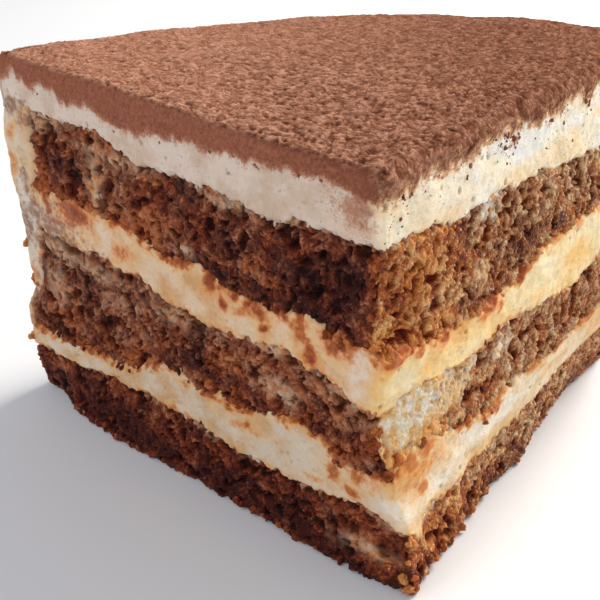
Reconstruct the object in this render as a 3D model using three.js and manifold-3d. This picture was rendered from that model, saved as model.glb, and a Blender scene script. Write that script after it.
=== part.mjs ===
// A quarter slice of a round layered tiramisu cake, in millimetres, +Z up.
// It stands on its flat base at Z = 0. The tip, where the two cut faces meet, points along -Y.
// The curved rim of the cake lies toward +Y. From below: sponge, cream, sponge, cream, sponge, cream
// and a dusting of cocoa. A coat of cream covers the rim.

import * as THREE from 'three';
import { mergeVertices } from 'three/addons/utils/BufferGeometryUtils.js';
import Module from 'manifold-3d';

const wasm = await Module();
wasm.setup();

// Size of the slice
const CAKE_RADIUS = 90;
const TOTAL_HEIGHT = 75;
const MIDDLE_HEIGHT = TOTAL_HEIGHT / 2;
const QUARTER_TURN = Math.PI / 2;

// Lean of each side about its middle height: a positive angle sets the foot out
const LEFT_LEAN = THREE.MathUtils.degToRad(-0.9);
const RIGHT_LEAN = THREE.MathUtils.degToRad(3.8);
const RIM_LEAN = THREE.MathUtils.degToRad(2.6);

// Each boundary between two layers has its mean height, and how far it strays from that height
// along each cut face. Every pair is the distance from the tip and the stray.
const BASE = { height: 0, left: [[0, 0]], right: [[0, 0]] };
const BOTTOM_SPONGE_TOP = {
  height: 14.1,
  left: [[0, -0.8], [6, 1.8], [14, 0], [31, -0.7], [50, 0.7], [66, 0.7], [79, -1.6]],
  right: [[0, -0.8], [5, -3.5], [9, 0.5], [15, -1.2], [31, -0.8], [60, 0]],
};
const LOWER_CREAM_TOP = {
  height: 22.8,
  left: [[0, 0.5], [7, -1], [18, 3], [34, -0.7], [51, 0.2], [63, -4.8], [79, -6.5]],
  right: [[0, 0.5], [9, 3.6], [18, 0.1], [31, -2.5], [41, -0.6], [63, -1.8], [80, 1]],
};
const MIDDLE_SPONGE_TOP = {
  height: 38,
  left: [[0, -1.5], [5, -2], [12, 0.1], [22, 1.6], [35, -0.5], [48, 0.8], [58, 3.6]],
  right: [[0, -1.5], [7, 0.1], [25, -2.2], [36, -0.9], [59, -3.5], [75, -0.6]],
};
const MIDDLE_CREAM_TOP = {
  height: 46.1,
  left: [[0, -0.5], [18, 0.5], [25, -0.6], [35, 0.1], [40, 1.8], [46, 0.8], [65, 4]],
  right: [[0, -0.5], [13, -2.3], [20, -3.3], [37, -3.4], [45, -0.1], [69, 0.5]],
};
const TOP_SPONGE_TOP = {
  height: 63.6,
  left: [[0, 0.5], [17, 0], [25, -1.5], [36, -0.1], [55, 0.2], [65, 3.2]],
  right: [[0, 0.5], [8, 0.3], [20, -1.6], [26, -0.8], [42, -1.7], [54, -3], [67, -3.6]],
};
const STRAY_DEPTH = 15;

// The foot of the left face bulges a little, and the right face is undercut toward the rim
const LEFT_FOOT_OUT = [[0, 0.2], [20, 0.5], [40, 1.2], [66, 2.1], [78, 1.2], [90, -2]];
const LEFT_FOOT_HEIGHT = 14;
const RIGHT_FOOT_OUT = [[0, 1.7], [17, 1], [26, -0.5], [35, -1.8], [48, -2.1], [55, -4.1], [76, -6.5]];
const RIGHT_FOOT_HEIGHT = 26;

// The edge at the tip isn't straight: every pair is a height and a shift toward +X
const TIP_SHIFT = [
  [0, 2], [12, 1.8], [22, 0], [33, -2.3], [40, -1.2], [45, 0.3], [49, -2.3], [56, -1.3], [64, -0.1],
];
const TIP_SHIFT_REACH = 6;
const TIP_BLEND = 12;

// Cream coat on the rim: every pair is a height and the thickness there
const COAT_THICKNESS = [[22, 1.6], [30, 3.2], [38, 4.5], [46, 6.5], [55, 8], [64, 7.5]];

// Cocoa: a thin cap, with a skirt that the knife dragged down the cut faces
const DUST_THICKNESS = 1.2;
const SKIRT_THICKNESS = 0.8;
const LEFT_SKIRT_DROP = [[0, 5], [7, 4.7], [14, 3.6], [23, 4.7], [44, 6], [57, 8], [68, 5], [90, 6]];
const RIGHT_SKIRT_DROP = 4;
const RIM_SKIRT_DROP = 3;
const SKIRT_TOOTH = 0.9;
const LEFT_EDGE_ROUNDING = 0.7;
const RIGHT_EDGE_ROUNDING = 2.4;
const RIGHT_ROUNDING_START = 15;

// Gap between neighbours, and the relief of each surface
const GAP = 0.3;
const SPONGE_RELIEF = 1.1;
const CREAM_RELIEF = 0.35;
const COCOA_RELIEF = 0.35;
const CRUMB_SIZE = 4.2;
const CREAM_WAVE = 11;
const COCOA_WAVE = 22;

// Fineness of the meshes
const FACE_STEPS = 29;
const FACE_GRADING = 1.25;
const RIM_STEPS = 18;
const CORNER_CHAMFER = 1.7;
const SPONGE_ROWS = 6;
const CREAM_ROWS = 3;
const COAT_ROWS = 10;
const COLUMN_STEPS = 36;
const COLUMN_ROWS = 9;

// Colours
const COCOA_COLOUR = 0x9a6a52;
const CREAM_COLOUR = 0xf0dfc0;
const SPONGE_COLOUR = 0x6b4226;

// Directions of the two cut faces from the tip.
// A plan point (p, q) lies p along the left one and q along the right one.
const ALONG_LEFT = new THREE.Vector2(-Math.SQRT1_2, Math.SQRT1_2);
const ALONG_RIGHT = new THREE.Vector2(Math.SQRT1_2, Math.SQRT1_2);
const RING_CENTRE = { p: 0.42 * CAKE_RADIUS, q: 0.42 * CAKE_RADIUS };

// Value at x of a smooth curve through the given pairs, level beyond both ends
function curve(pairs, x) {
  const last = pairs[pairs.length - 1];
  if (x <= pairs[0][0]) return pairs[0][1];
  if (x >= last[0]) return last[1];
  const next = pairs.findIndex((pair) => pair[0] > x);
  const [x0, y0] = pairs[next - 1];
  const [x1, y1] = pairs[next];
  return y0 + (y1 - y0) * THREE.MathUtils.smoothstep(x, x0, x1);
}

// Repeatable random number from -1 to 1 for a whole-numbered cell
function cellValue(i, j, k) {
  const wave = Math.sin(i * 127.1 + j * 311.7 + k * 74.7) * 43758.5453;
  return 2 * (wave - Math.floor(wave)) - 1;
}

// Smooth noise from -1 to 1 that varies over the given size
function noise(x, y, z, size) {
  const scaled = [x / size, y / size, z / size];
  const cell = scaled.map(Math.floor);
  const [u, v, w] = scaled.map((value, axis) => THREE.MathUtils.smoothstep(value - cell[axis], 0, 1));
  let sum = 0;
  for (const i of [0, 1]) {
    for (const j of [0, 1]) {
      for (const k of [0, 1]) {
        const weight = (i ? u : 1 - u) * (j ? v : 1 - v) * (k ? w : 1 - w);
        sum += weight * cellValue(cell[0] + i, cell[1] + j, cell[2] + k);
      }
    }
  }
  return sum;
}

// Outward offset of each cut face, at a distance from the tip and a height
function leftOut(along, height) {
  const lean = (MIDDLE_HEIGHT - height) * Math.tan(LEFT_LEAN);
  const foot = curve(LEFT_FOOT_OUT, along) * Math.max(0, 1 - height / LEFT_FOOT_HEIGHT);
  return lean + foot - Math.SQRT1_2 * tipShift(along, height);
}

function rightOut(along, height) {
  const lean = (MIDDLE_HEIGHT - height) * Math.tan(RIGHT_LEAN);
  const foot = curve(RIGHT_FOOT_OUT, along) * Math.max(0, 1 - height / RIGHT_FOOT_HEIGHT);
  return lean + foot + Math.SQRT1_2 * tipShift(along, height);
}

function tipShift(along, height) {
  return curve(TIP_SHIFT, height) * Math.exp(-((along / TIP_SHIFT_REACH) ** 2));
}

function rimRadius(height) {
  return CAKE_RADIUS + (MIDDLE_HEIGHT - height) * Math.tan(RIM_LEAN);
}

// Height of a layer boundary at a plan point: it strays only near the cut faces
function boundaryHeight(boundary, p, q) {
  const distance = Math.hypot(p, q);
  const share = THREE.MathUtils.smoothstep(Math.atan2(Math.max(q, 0), Math.max(p, 0)), 0, QUARTER_TURN);
  const stray = (1 - share) * curve(boundary.left, distance) + share * curve(boundary.right, distance);
  const depth = Math.max(0, Math.min(p, q));
  return boundary.height + stray * Math.exp(-((depth / STRAY_DEPTH) ** 2));
}

// Stations round the outline, anticlockwise from the tip: right cut face, rim, left cut face
function outlineStations() {
  const reach = CAKE_RADIUS - CORNER_CHAMFER;
  const alongs = [];
  for (let i = 1; i <= FACE_STEPS; i += 1) {
    alongs.push(reach * (i / FACE_STEPS) ** FACE_GRADING);
  }
  const stations = [{ face: 'tip', along: 0 }];
  alongs.forEach((along) => stations.push({ face: 'right', along }));
  for (let i = 0; i <= RIM_STEPS; i += 1) {
    stations.push({ face: 'rim', share: i / RIM_STEPS });
  }
  alongs.reverse().forEach((along) => stations.push({ face: 'left', along }));
  return stations;
}

const STATIONS = outlineStations();

// Plan point of a station on the side of the slice, at a height and an inset, with the way out.
// The rim runs from one cut face to the other, and both cut faces start at the tip.
function sidePoint(station, height, inset = 0) {
  const radius = rimRadius(height) - inset;
  const rightFace = (along) => inset - rightOut(along, height);
  const leftFace = (along) => inset - leftOut(along, height);
  if (station.face === 'rim') {
    const atRight = Math.acos((CORNER_CHAMFER + rightFace(CAKE_RADIUS)) / radius);
    const atLeft = Math.asin((CORNER_CHAMFER + leftFace(CAKE_RADIUS)) / radius);
    const turn = THREE.MathUtils.lerp(atRight, atLeft, station.share);
    const out = { p: Math.cos(turn), q: Math.sin(turn) };
    return { p: radius * out.p, q: radius * out.q, out };
  }
  const along = station.along * (radius / CAKE_RADIUS);
  const blend = Math.max(0, 1 - along / TIP_BLEND);
  if (station.face === 'right') {
    return { p: rightFace(along), q: along + blend * leftFace(0), out: { p: -1, q: 0 } };
  }
  if (station.face === 'left') {
    return { p: along + blend * rightFace(0), q: leftFace(along), out: { p: 0, q: -1 } };
  }
  return { p: rightFace(0), q: leftFace(0), out: { p: -Math.SQRT1_2, q: -Math.SQRT1_2 } };
}

function sideHeight(station, boundary) {
  if (station.face === 'rim') {
    const turn = QUARTER_TURN * (1 - station.share);
    return boundaryHeight(boundary, CAKE_RADIUS * Math.cos(turn), CAKE_RADIUS * Math.sin(turn));
  }
  if (station.face === 'right') return boundaryHeight(boundary, 0, station.along);
  return boundaryHeight(boundary, station.along, 0);
}

function space(p, q, height) {
  const x = p * ALONG_LEFT.x + q * ALONG_RIGHT.x;
  const y = p * ALONG_LEFT.y + q * ALONG_RIGHT.y;
  return new THREE.Vector3(x, y, height);
}

// Point on the side, set back by an inset and pushed out by the relief. Neighbours that face each
// other across a gap share the plan of one height, and the rise takes each of them clear of it.
function wallPoint(station, height, relief, inset = 0, rise = 0) {
  const side = sidePoint(station, height, inset);
  const push = relief(space(side.p, side.q, height));
  return space(side.p + push * side.out.p, side.q + push * side.out.q, height + rise);
}

const spongeRelief = (at) => SPONGE_RELIEF * noise(at.x, at.y, at.z, CRUMB_SIZE);
const creamRelief = (at) => CREAM_RELIEF * noise(at.x, at.y, at.z, CREAM_WAVE);

// Rings of wall points from one boundary up to the next. The relief fades out at both of them.
function wallRings(lower, upper, rows, relief) {
  const rings = [];
  for (let row = 0; row <= rows; row += 1) {
    const rise = row / rows;
    const fade = Math.sqrt(Math.sin(Math.PI * rise));
    const ring = STATIONS.map((station) => {
      const height = THREE.MathUtils.lerp(sideHeight(station, lower), sideHeight(station, upper), rise);
      const clearance = THREE.MathUtils.lerp(lower === BASE ? 0 : GAP / 2, -GAP / 2, rise);
      return wallPoint(station, height, (at) => fade * relief(at), 0, clearance);
    });
    rings.push(ring);
  }
  return rings;
}

// Ring inside an outline, drawn in toward the middle, at the heights that the surface gives
function innerRing(scale, surface) {
  return STATIONS.map((station) => {
    const side = sidePoint(station, MIDDLE_HEIGHT);
    const p = THREE.MathUtils.lerp(RING_CENTRE.p, side.p, scale);
    const q = THREE.MathUtils.lerp(RING_CENTRE.q, side.q, scale);
    return space(p, q, surface(p, q));
  });
}

function centrePoint(surface) {
  return space(RING_CENTRE.p, RING_CENTRE.q, surface(RING_CENTRE.p, RING_CENTRE.q));
}

// Closed body from a stack of rings, with a point at each end of the stack.
// The diagonals turn round partway, so that a ceiling's facets match those of the floor on it.
function ringBody(firstPoint, rings, lastPoint, turningRing = rings.length / 2) {
  const count = STATIONS.length;
  const points = [firstPoint, ...rings.flat(), lastPoint];
  const lastIndex = points.length - 1;
  const faces = [];
  for (let i = 0; i < count; i += 1) {
    const next = (i + 1) % count;
    faces.push(0, 1 + next, 1 + i);
    for (let ring = 0; ring < rings.length - 1; ring += 1) {
      const below = 1 + ring * count;
      const above = below + count;
      if (ring < turningRing) {
        faces.push(below + i, below + next, above + next, below + i, above + next, above + i);
      } else {
        faces.push(below + i, below + next, above + i, below + next, above + next, above + i);
      }
    }
    const top = 1 + (rings.length - 1) * count;
    faces.push(top + i, top + next, lastIndex);
  }
  const geometry = new THREE.BufferGeometry().setFromPoints(points);
  geometry.setIndex(faces);
  return geometry;
}

// One layer: flat-lying surfaces at both boundaries, and a wall with relief between them
function layer(lower, upper, rows, relief) {
  const floor = (p, q) => (lower === BASE ? 0 : boundaryHeight(lower, p, q) + GAP / 2);
  const ceiling = (p, q) => boundaryHeight(upper, p, q) - GAP / 2;
  const rings = [
    innerRing(0.8, floor),
    ...wallRings(lower, upper, rows, relief),
    innerRing(0.8, ceiling),
  ];
  return ringBody(centrePoint(floor), rings, centrePoint(ceiling));
}

function toManifold(geometry) {
  const bare = new THREE.BufferGeometry();
  bare.setAttribute('position', geometry.getAttribute('position'));
  bare.setIndex(geometry.getIndex());
  const merged = mergeVertices(bare, 1e-4);
  const vertProperties = Float32Array.from(merged.getAttribute('position').array);
  const triVerts = Uint32Array.from(merged.getIndex().array);
  return new wasm.Manifold(new wasm.Mesh({ numProp: 3, vertProperties, triVerts }));
}

function fromManifold(solid) {
  const mesh = solid.getMesh();
  const geometry = new THREE.BufferGeometry();
  geometry.setAttribute('position', new THREE.BufferAttribute(mesh.vertProperties, 3));
  geometry.setIndex(new THREE.BufferAttribute(mesh.triVerts, 1));
  return geometry;
}

// Upright column about the cake's axis, as wide as the cake inside its coat. The gap narrows it.
function coreColumn(gap) {
  const profile = [new THREE.Vector2(0, -1)];
  for (let row = 0; row <= COLUMN_ROWS; row += 1) {
    const height = THREE.MathUtils.lerp(-1, TOTAL_HEIGHT, row / COLUMN_ROWS);
    profile.push(new THREE.Vector2(rimRadius(height) - curve(COAT_THICKNESS, height) - gap, height));
  }
  profile.push(new THREE.Vector2(0, TOTAL_HEIGHT));
  const column = new THREE.LatheGeometry(profile, 4 * COLUMN_STEPS);
  column.rotateX(QUARTER_TURN);
  return column;
}

// Layer that stops at the coat
function coredLayer(lower, upper, rows, relief) {
  const body = toManifold(layer(lower, upper, rows, relief));
  return fromManifold(body.intersect(toManifold(coreColumn(GAP))));
}

function rimCoat() {
  const body = toManifold(layer(LOWER_CREAM_TOP, TOP_SPONGE_TOP, COAT_ROWS, creamRelief));
  return fromManifold(body.subtract(toManifold(coreColumn(0))));
}

// How far down the cocoa skirt hangs at a station. Its lower edge is toothed.
function skirtDrop(station) {
  if (station.face === 'rim') return RIM_SKIRT_DROP;
  const tooth = SKIRT_TOOTH * cellValue(Math.round(station.along * 10), 3, 7);
  const left = curve(LEFT_SKIRT_DROP, station.along);
  if (station.face === 'left') return left + tooth;
  if (station.face === 'right') return RIGHT_SKIRT_DROP + tooth;
  return left;
}

// The top edge is sharp on the left, and worn round on the right as far as the rim's corner
function edgeRounding(station) {
  if (station.face !== 'right') return LEFT_EDGE_ROUNDING;
  const wear = THREE.MathUtils.smoothstep(CAKE_RADIUS - station.along, 0, RIGHT_ROUNDING_START);
  return THREE.MathUtils.lerp(LEFT_EDGE_ROUNDING, RIGHT_EDGE_ROUNDING, wear);
}

function cocoaSurface(p, q) {
  const at = space(p, q, 0);
  return TOTAL_HEIGHT - COCOA_RELIEF + COCOA_RELIEF * noise(at.x, at.y, 0, COCOA_WAVE);
}

// Ring of the top block, at a depth below the top and an inset that each station gives
function blockRing(depthAt, insetAt, rise = 0) {
  return STATIONS.map((station) => {
    const height = TOTAL_HEIGHT - COCOA_RELIEF - depthAt(station);
    return wallPoint(station, height, creamRelief, insetAt(station), rise);
  });
}

// Cocoa cap: the inner surface runs from its middle out and down to the skirt's edge,
// and the outer surface runs back up from there
function cocoaCap() {
  const underside = () => TOTAL_HEIGHT - COCOA_RELIEF - DUST_THICKNESS;
  const innerInset = (station) => SKIRT_THICKNESS + edgeRounding(station) / 2;
  const rings = [
    innerRing(0.6, underside),
    blockRing(() => DUST_THICKNESS, innerInset),
    blockRing(skirtDrop, () => SKIRT_THICKNESS),
    blockRing(skirtDrop, () => 0),
    blockRing((station) => (skirtDrop(station) + edgeRounding(station)) / 2, () => 0),
    blockRing(edgeRounding, () => 0),
    blockRing((station) => 0.3 * edgeRounding(station), (station) => 0.3 * edgeRounding(station)),
    blockRing(() => 0, edgeRounding),
    ...[0.93, 0.82, 0.7, 0.56, 0.4, 0.2].map((scale) => innerRing(scale, cocoaSurface)),
  ];
  return ringBody(centrePoint(underside), rings, centrePoint(cocoaSurface));
}

// Top cream: full width below the skirt, then stepped in behind it and flat under the dusting
function topCream() {
  const floor = (p, q) => boundaryHeight(TOP_SPONGE_TOP, p, q) + GAP / 2;
  const ceiling = () => TOTAL_HEIGHT - COCOA_RELIEF - DUST_THICKNESS - GAP;
  const skirtFoot = (station) => TOTAL_HEIGHT - COCOA_RELIEF - skirtDrop(station);
  const wall = [0, 0.5, 1].map((rise) => STATIONS.map((station) => {
    const height = THREE.MathUtils.lerp(sideHeight(station, TOP_SPONGE_TOP), skirtFoot(station), rise);
    const fade = THREE.MathUtils.smoothstep(rise, 0, 0.5);
    const clearance = THREE.MathUtils.lerp(GAP / 2, -GAP, rise);
    return wallPoint(station, height, (at) => fade * creamRelief(at), 0, clearance);
  }));
  const inset = SKIRT_THICKNESS + GAP;
  const rings = [
    innerRing(0.8, floor),
    ...wall,
    blockRing(skirtDrop, () => inset, -GAP),
    blockRing(() => DUST_THICKNESS, (station) => inset + edgeRounding(station) / 2, -GAP),
    innerRing(0.6, ceiling),
  ];
  return ringBody(centrePoint(floor), rings, centrePoint(ceiling), wall.length);
}

// Each material stands for one food
function food(name, color, roughness) {
  return new THREE.MeshStandardMaterial({ name, color, roughness, metalness: 0 });
}

function sponge(name, geometry) {
  return named(name, geometry, food('soaked sponge', SPONGE_COLOUR, 0.8));
}

function cream(name, geometry) {
  return named(name, geometry, food('mascarpone cream', CREAM_COLOUR, 0.55));
}

function named(name, geometry, material) {
  const mesh = new THREE.Mesh(geometry, material);
  mesh.name = name;
  geometry.computeVertexNormals();
  return mesh;
}

// Moves the slice so that the middle of its base is the origin
function centreOnBase(group) {
  const middle = new THREE.Box3().setFromObject(group).getCenter(new THREE.Vector3());
  group.position.set(-middle.x, -middle.y, 0);
}

const slice = new THREE.Group();
slice.add(sponge('bottom_sponge', layer(BASE, BOTTOM_SPONGE_TOP, SPONGE_ROWS, spongeRelief)));
slice.add(cream('lower_cream', layer(BOTTOM_SPONGE_TOP, LOWER_CREAM_TOP, CREAM_ROWS, creamRelief)));
slice.add(
  sponge('middle_sponge', coredLayer(LOWER_CREAM_TOP, MIDDLE_SPONGE_TOP, SPONGE_ROWS, spongeRelief)),
);
slice.add(cream('middle_cream', coredLayer(MIDDLE_SPONGE_TOP, MIDDLE_CREAM_TOP, CREAM_ROWS, creamRelief)));
slice.add(sponge('top_sponge', coredLayer(MIDDLE_CREAM_TOP, TOP_SPONGE_TOP, SPONGE_ROWS, spongeRelief)));
slice.add(cream('rim_cream', rimCoat()));
slice.add(cream('top_cream', topCream()));
slice.add(named('cocoa_dusting', cocoaCap(), food('cocoa powder', COCOA_COLOUR, 0.95)));
centreOnBase(slice);

export default slice;
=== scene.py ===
"""A quarter slice of a layered tiramisu cake, dressed and lit for its portrait."""
import math
from types import SimpleNamespace

import bmesh
import bpy
import numpy as np
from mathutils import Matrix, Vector


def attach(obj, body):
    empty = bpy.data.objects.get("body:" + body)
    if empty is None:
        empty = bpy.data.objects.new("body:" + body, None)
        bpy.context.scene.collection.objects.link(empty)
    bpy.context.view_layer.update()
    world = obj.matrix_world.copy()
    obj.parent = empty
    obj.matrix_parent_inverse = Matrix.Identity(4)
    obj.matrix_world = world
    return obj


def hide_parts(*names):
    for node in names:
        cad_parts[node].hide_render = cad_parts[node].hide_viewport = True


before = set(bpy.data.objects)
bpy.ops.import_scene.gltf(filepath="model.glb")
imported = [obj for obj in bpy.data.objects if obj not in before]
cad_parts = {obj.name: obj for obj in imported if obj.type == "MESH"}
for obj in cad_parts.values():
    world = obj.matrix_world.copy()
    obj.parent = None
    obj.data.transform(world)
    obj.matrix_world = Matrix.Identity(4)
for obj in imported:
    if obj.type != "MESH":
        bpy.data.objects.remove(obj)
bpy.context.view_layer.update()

# Lengths are in millimetres until a mesh is made
MM = 0.001
CAKE_RADIUS = 90.0
TOTAL_HEIGHT = 75.0
MIDDLE_HEIGHT = TOTAL_HEIGHT / 2
AXIS = (-0.17, -44.5)
HALF_ROOT = math.sqrt(0.5)
QUARTER = math.pi / 2

# Camera of the photograph: its place is from the cake's axis, and its turns are in degrees
CAMERA_PLACE = (-23.4, -121.1, 125.6)
CAMERA_YAW = 4.71
CAMERA_PITCH = -29.45
CAMERA_LENS = 60.0
SENSOR_WIDTH = 36.0

# Lights, in metres and watts: place, size, power and colour
WINDOW_LIGHT = ((0.62, 0.42, 0.55), 0.55, 13.0, (1.0, 0.92, 0.8))
FILL_LIGHT = ((-0.55, -0.4, 0.62), 0.6, 2.8, (1.0, 0.96, 0.92))
LIT_PLACE = (0, 0, 0.04)
SKY_COLOUR = (0.95, 0.97, 1.0, 1.0)
SKY_STRENGTH = 0.42
FLOOR_SIZE = 3.0
FLOOR_HEIGHT = -0.0002

# Lean of each side: a positive angle sets the foot out
LEFT_LEAN = math.tan(math.radians(-0.9))
RIGHT_LEAN = math.tan(math.radians(3.8))
RIM_LEAN = math.tan(math.radians(2.6))
LEFT_FOOT_OUT = ((0, 0.2), (20, 0.5), (40, 1.2), (66, 2.1), (78, 1.2), (90, -2))
LEFT_FOOT_HEIGHT = 14.0
RIGHT_FOOT_OUT = ((0, 1.7), (17, 1), (26, -0.5), (35, -1.8), (48, -2.1), (55, -4.1), (76, -6.5))
RIGHT_FOOT_HEIGHT = 26.0
TIP_SHIFT = (
    (0, 2), (12, 1.8), (22, 0), (33, -2.3), (40, -1.2), (45, 0.3), (49, -2.3), (56, -1.3), (64, -0.1),
)
TIP_SHIFT_REACH = 6.0
TIP_BLEND = 12.0
TIP_FILLET = 0.9
CORNER_FILLET = 1.8

# Swelling of the coat near the left face, by height, its reach round the rim in degrees, and its distances
LEFT_SWELL = (
    (0, 1.6), (8, 2.6), (20, 2.8), (28, -1), (36, 0), (46, 1), (52, 2.6), (60, 3.2), (68, 1.8), (75, 0.2),
)
SWELL_REACH = 26.0
SWELL_BAND = (66, 88)
# How far the top rises at the rim, by degrees from the left face, and along the left face
RIM_RISE = ((0, 1), (6, 1), (12, 0), (20, -0.2), (33, -0.6), (45, 0.1), (62, 0.6), (72, 1.2), (84, 0.7))
LEFT_RISE = ((0, 0), (30, 0.1), (45, 0.5), (62, 0.9), (80, 0.7), (90, 0))

# Boundaries between layers: mean height, and stray from it along each cut face
STRAY_DEPTH = 15.0
BASE = dict(height=0.0, left=((0, 0),), right=((0, 0),))
BOTTOM_SPONGE_TOP = dict(
    height=14.1,
    left=((0, -0.8), (6, 1.8), (14, 0), (31, -0.7), (50, 0.7), (66, 0.7), (79, -1.6)),
    right=((0, -0.8), (5, -3.5), (9, 0.5), (15, -1.2), (31, -0.8), (60, 0)),
)
LOWER_CREAM_TOP = dict(
    height=22.8,
    left=((0, 0.5), (7, -1), (18, 3), (34, -0.7), (51, 0.2), (63, -4.8), (79, -6.5)),
    right=((0, 0.5), (9, 3.6), (18, 0.1), (31, -2.5), (41, -0.6), (63, -1.8), (80, 1)),
)
MIDDLE_SPONGE_TOP = dict(
    height=38.0,
    left=((0, -1.5), (5, -2), (12, 0.1), (22, 1.6), (35, -0.5), (48, 0.8), (58, 3.6)),
    right=((0, -1.5), (7, 0.1), (25, -2.2), (36, -0.9), (59, -3.5), (75, -0.6)),
)
MIDDLE_CREAM_TOP = dict(
    height=46.1,
    left=((0, -0.5), (18, 0.5), (25, -0.6), (35, 0.1), (40, 1.8), (46, 0.8), (65, 4)),
    right=((0, -0.5), (13, -2.3), (20, -3.3), (37, -3.4), (45, -0.1), (69, 0.5)),
)
TOP_SPONGE_TOP = dict(
    height=63.6,
    left=((0, 0.5), (17, 0), (25, -1.5), (36, -0.1), (55, 0.2), (65, 3.2)),
    right=((0, 0.5), (8, 0.3), (20, -1.6), (26, -0.8), (42, -1.7), (54, -3), (67, -3.6)),
)
CREAM_TOP = dict(height=74.2, left=((0, 0),), right=((0, 0),))
COAT_THICKNESS = ((22, 1.6), (30, 3.2), (38, 4.5), (46, 6.5), (55, 8), (64, 7.5))

# How far the cocoa hangs down each side
LEFT_SKIRT_DROP = (
    (0, 4.6), (4, 4.8), (10, 3.8), (15, 3.4), (22, 3.9), (36, 4.6), (50, 5.3), (57, 6.1), (62, 5.3),
    (68, 4.1), (76, 3.9), (84, 3.2), (90, 3.2),
)
RIGHT_SKIRT_DROP = ((0, 4.6), (4, 4.4), (9, 3.8), (15, 3.6))
RIM_SKIRT_DROP = 3.0
LEFT_ROUNDING = 0.7
RIGHT_ROUNDING = 2.4
RIM_ROUNDING = 1.4

# Fineness of the meshes: a pair is the step near the tip and the step at the rim
SPONGE_STEP = (0.205, 0.3)
CREAM_STEP = (0.27, 0.36)
RIM_STEP = 0.9
HIDDEN_STEP = 3.0
TOP_COUNT = 248
SKIRT_ROWS = 18
ROUNDING_ROWS = 12
CRUMB_FINENESS = 3
SPECK_FINENESS = 1
COAT_INSIDE_COUNT = 50
COAT_INSIDE_TURN = 0.07

# How many loose crumbs lie along the borders of the three creams and round the foot, and how many specks
CRUMBS_ON_CREAMS = (22, 20, 8)
CRUMBS_AT_FOOT = 150
SPECKS = 300

# How far inside its border a layer starts to dip behind its neighbour, and how steeply
SPONGE_SINK = (0.7, 0.8)
CREAM_SINK = (0.0, 0.9)

# Overlap of the layers and scale of their hidden ends, depths of the coat and skirt, form of the cocoa's cap
OVERLAP = 2.2
HIDDEN_SCALE = 0.9
COAT_DEPTH = 9.0
SKIRT_DEPTH = 9.5
EDGE_BAND = 14.0
COCOA_TOP = 74.85
CAP_INSET = 1.2
CAP_DEPTH = 2.4

# Seeds of the noise. Every cream has the same one, so that they tear alike where they meet.
BOTTOM_SEED, MIDDLE_SEED, TOP_SEED = 100, 150, 200
CREAM_SEED = 300
COCOA_SEED = 700
SHARE_SEED = 975
FRAY_SEED = 1000
COAT_SEED = 77
SMUDGE_SEED = 965
ROUNDING_SEED = 920
SKIRT_SEED = 901
COVER_SEED = 930
RISE_SEED = 940
SPILL_SEED = 950
LUMP_SEED = 971
# Seeds of the random draws of the sponge crumbs, the large crumbs and the specks
CRUMB_DRAWS, LARGE_CRUMB_DRAWS, SPECK_DRAWS = 11, 13, 17

# Spots on each cut face: along, height, half length, half height
SMEARED_SPONGE = dict(
    left=(
        (7.6, 37.2, 4.8, 2.3), (22, 31, 3.5, 1.8), (77, 66, 4, 1.2), (65.8, 55, 1.6, 6),
        (41, 37.4, 2.6, 1.6), (24, 38.4, 4, 1.2), (80.8, 65.2, 3, 2.4), (79, 38.5, 5, 2), (70, 38, 6, 1.4),
        (47, 36, 5, 1.6), (42.3, 50.5, 1.4, 1), (81, 30, 2.5, 4), (6.5, 6.6, 3.4, 1.4), (60, 62.8, 8, 1),
        (33, 62, 6, 1),
    ),
    right=(
        (5.8, 34.8, 5.8, 2.8), (9.5, 33, 3.8, 2.4), (15, 35.2, 2.4, 1.4), (23.5, 34.6, 2.4, 1),
        (5, 30, 2, 2.4), (8.5, 14, 4, 2), (17, 15, 3, 1.5), (27, 60, 3, 1.5), (33, 33, 3, 1.4),
    ),
)
SOAKED_SPONGE = dict(
    left=(
        (2, 46.5, 4, 2.4), (9.5, 46.5, 2.4, 1.8), (73.5, 50.8, 7.5, 4.6), (54, 50.5, 4.5, 2.6),
        (80, 55, 1.4, 8), (2.5, 4.8, 2.6, 2), (24, 50.5, 2.2, 2.6), (38, 24.6, 6, 1.8), (10, 24.5, 3, 2),
        (60, 22, 8, 2), (1.5, 58, 1.8, 5), (2, 30, 1.8, 2.6), (79, 24.5, 5, 3.4),
    ),
    right=(
        (4, 26.4, 5, 2), (11.5, 28, 2.6, 1.8), (2.5, 48, 3.5, 3), (9, 56, 2.4, 5), (14, 47, 4, 2),
        (3, 12, 3, 2), (2, 37.6, 3.4, 1.4), (17, 36, 2, 1.4),
    ),
)
DARK_SPONGE = dict(
    left=(
        (13, 53, 15, 8), (34, 55, 5, 3), (48, 58, 2.2, 4.5), (72, 58, 6, 4), (3.5, 29, 4, 2), (25, 6, 14, 4),
        (64, 7, 16, 4), (40, 27, 8, 2), (25, 48.8, 9, 2.2), (39, 48.6, 8, 1.8), (31, 60.8, 4, 1.8),
        (10.6, 38.3, 1.5, 0.7),
    ),
    right=((53, 49.5, 4, 2), (59.5, 31.5, 1.6, 2.6), (39, 50, 5, 1.6), (6, 2.5, 6, 2)),
)
LIGHT_SPONGE = dict(
    left=((30, 33, 9, 3), (12, 34, 8, 3), (60, 33, 8, 3), (66, 55, 2.4, 7), (50, 52, 6, 3), (29, 52, 5, 3)),
    right=((6.5, 31.5, 10, 8), (17, 31, 6, 3)),
)
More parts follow.
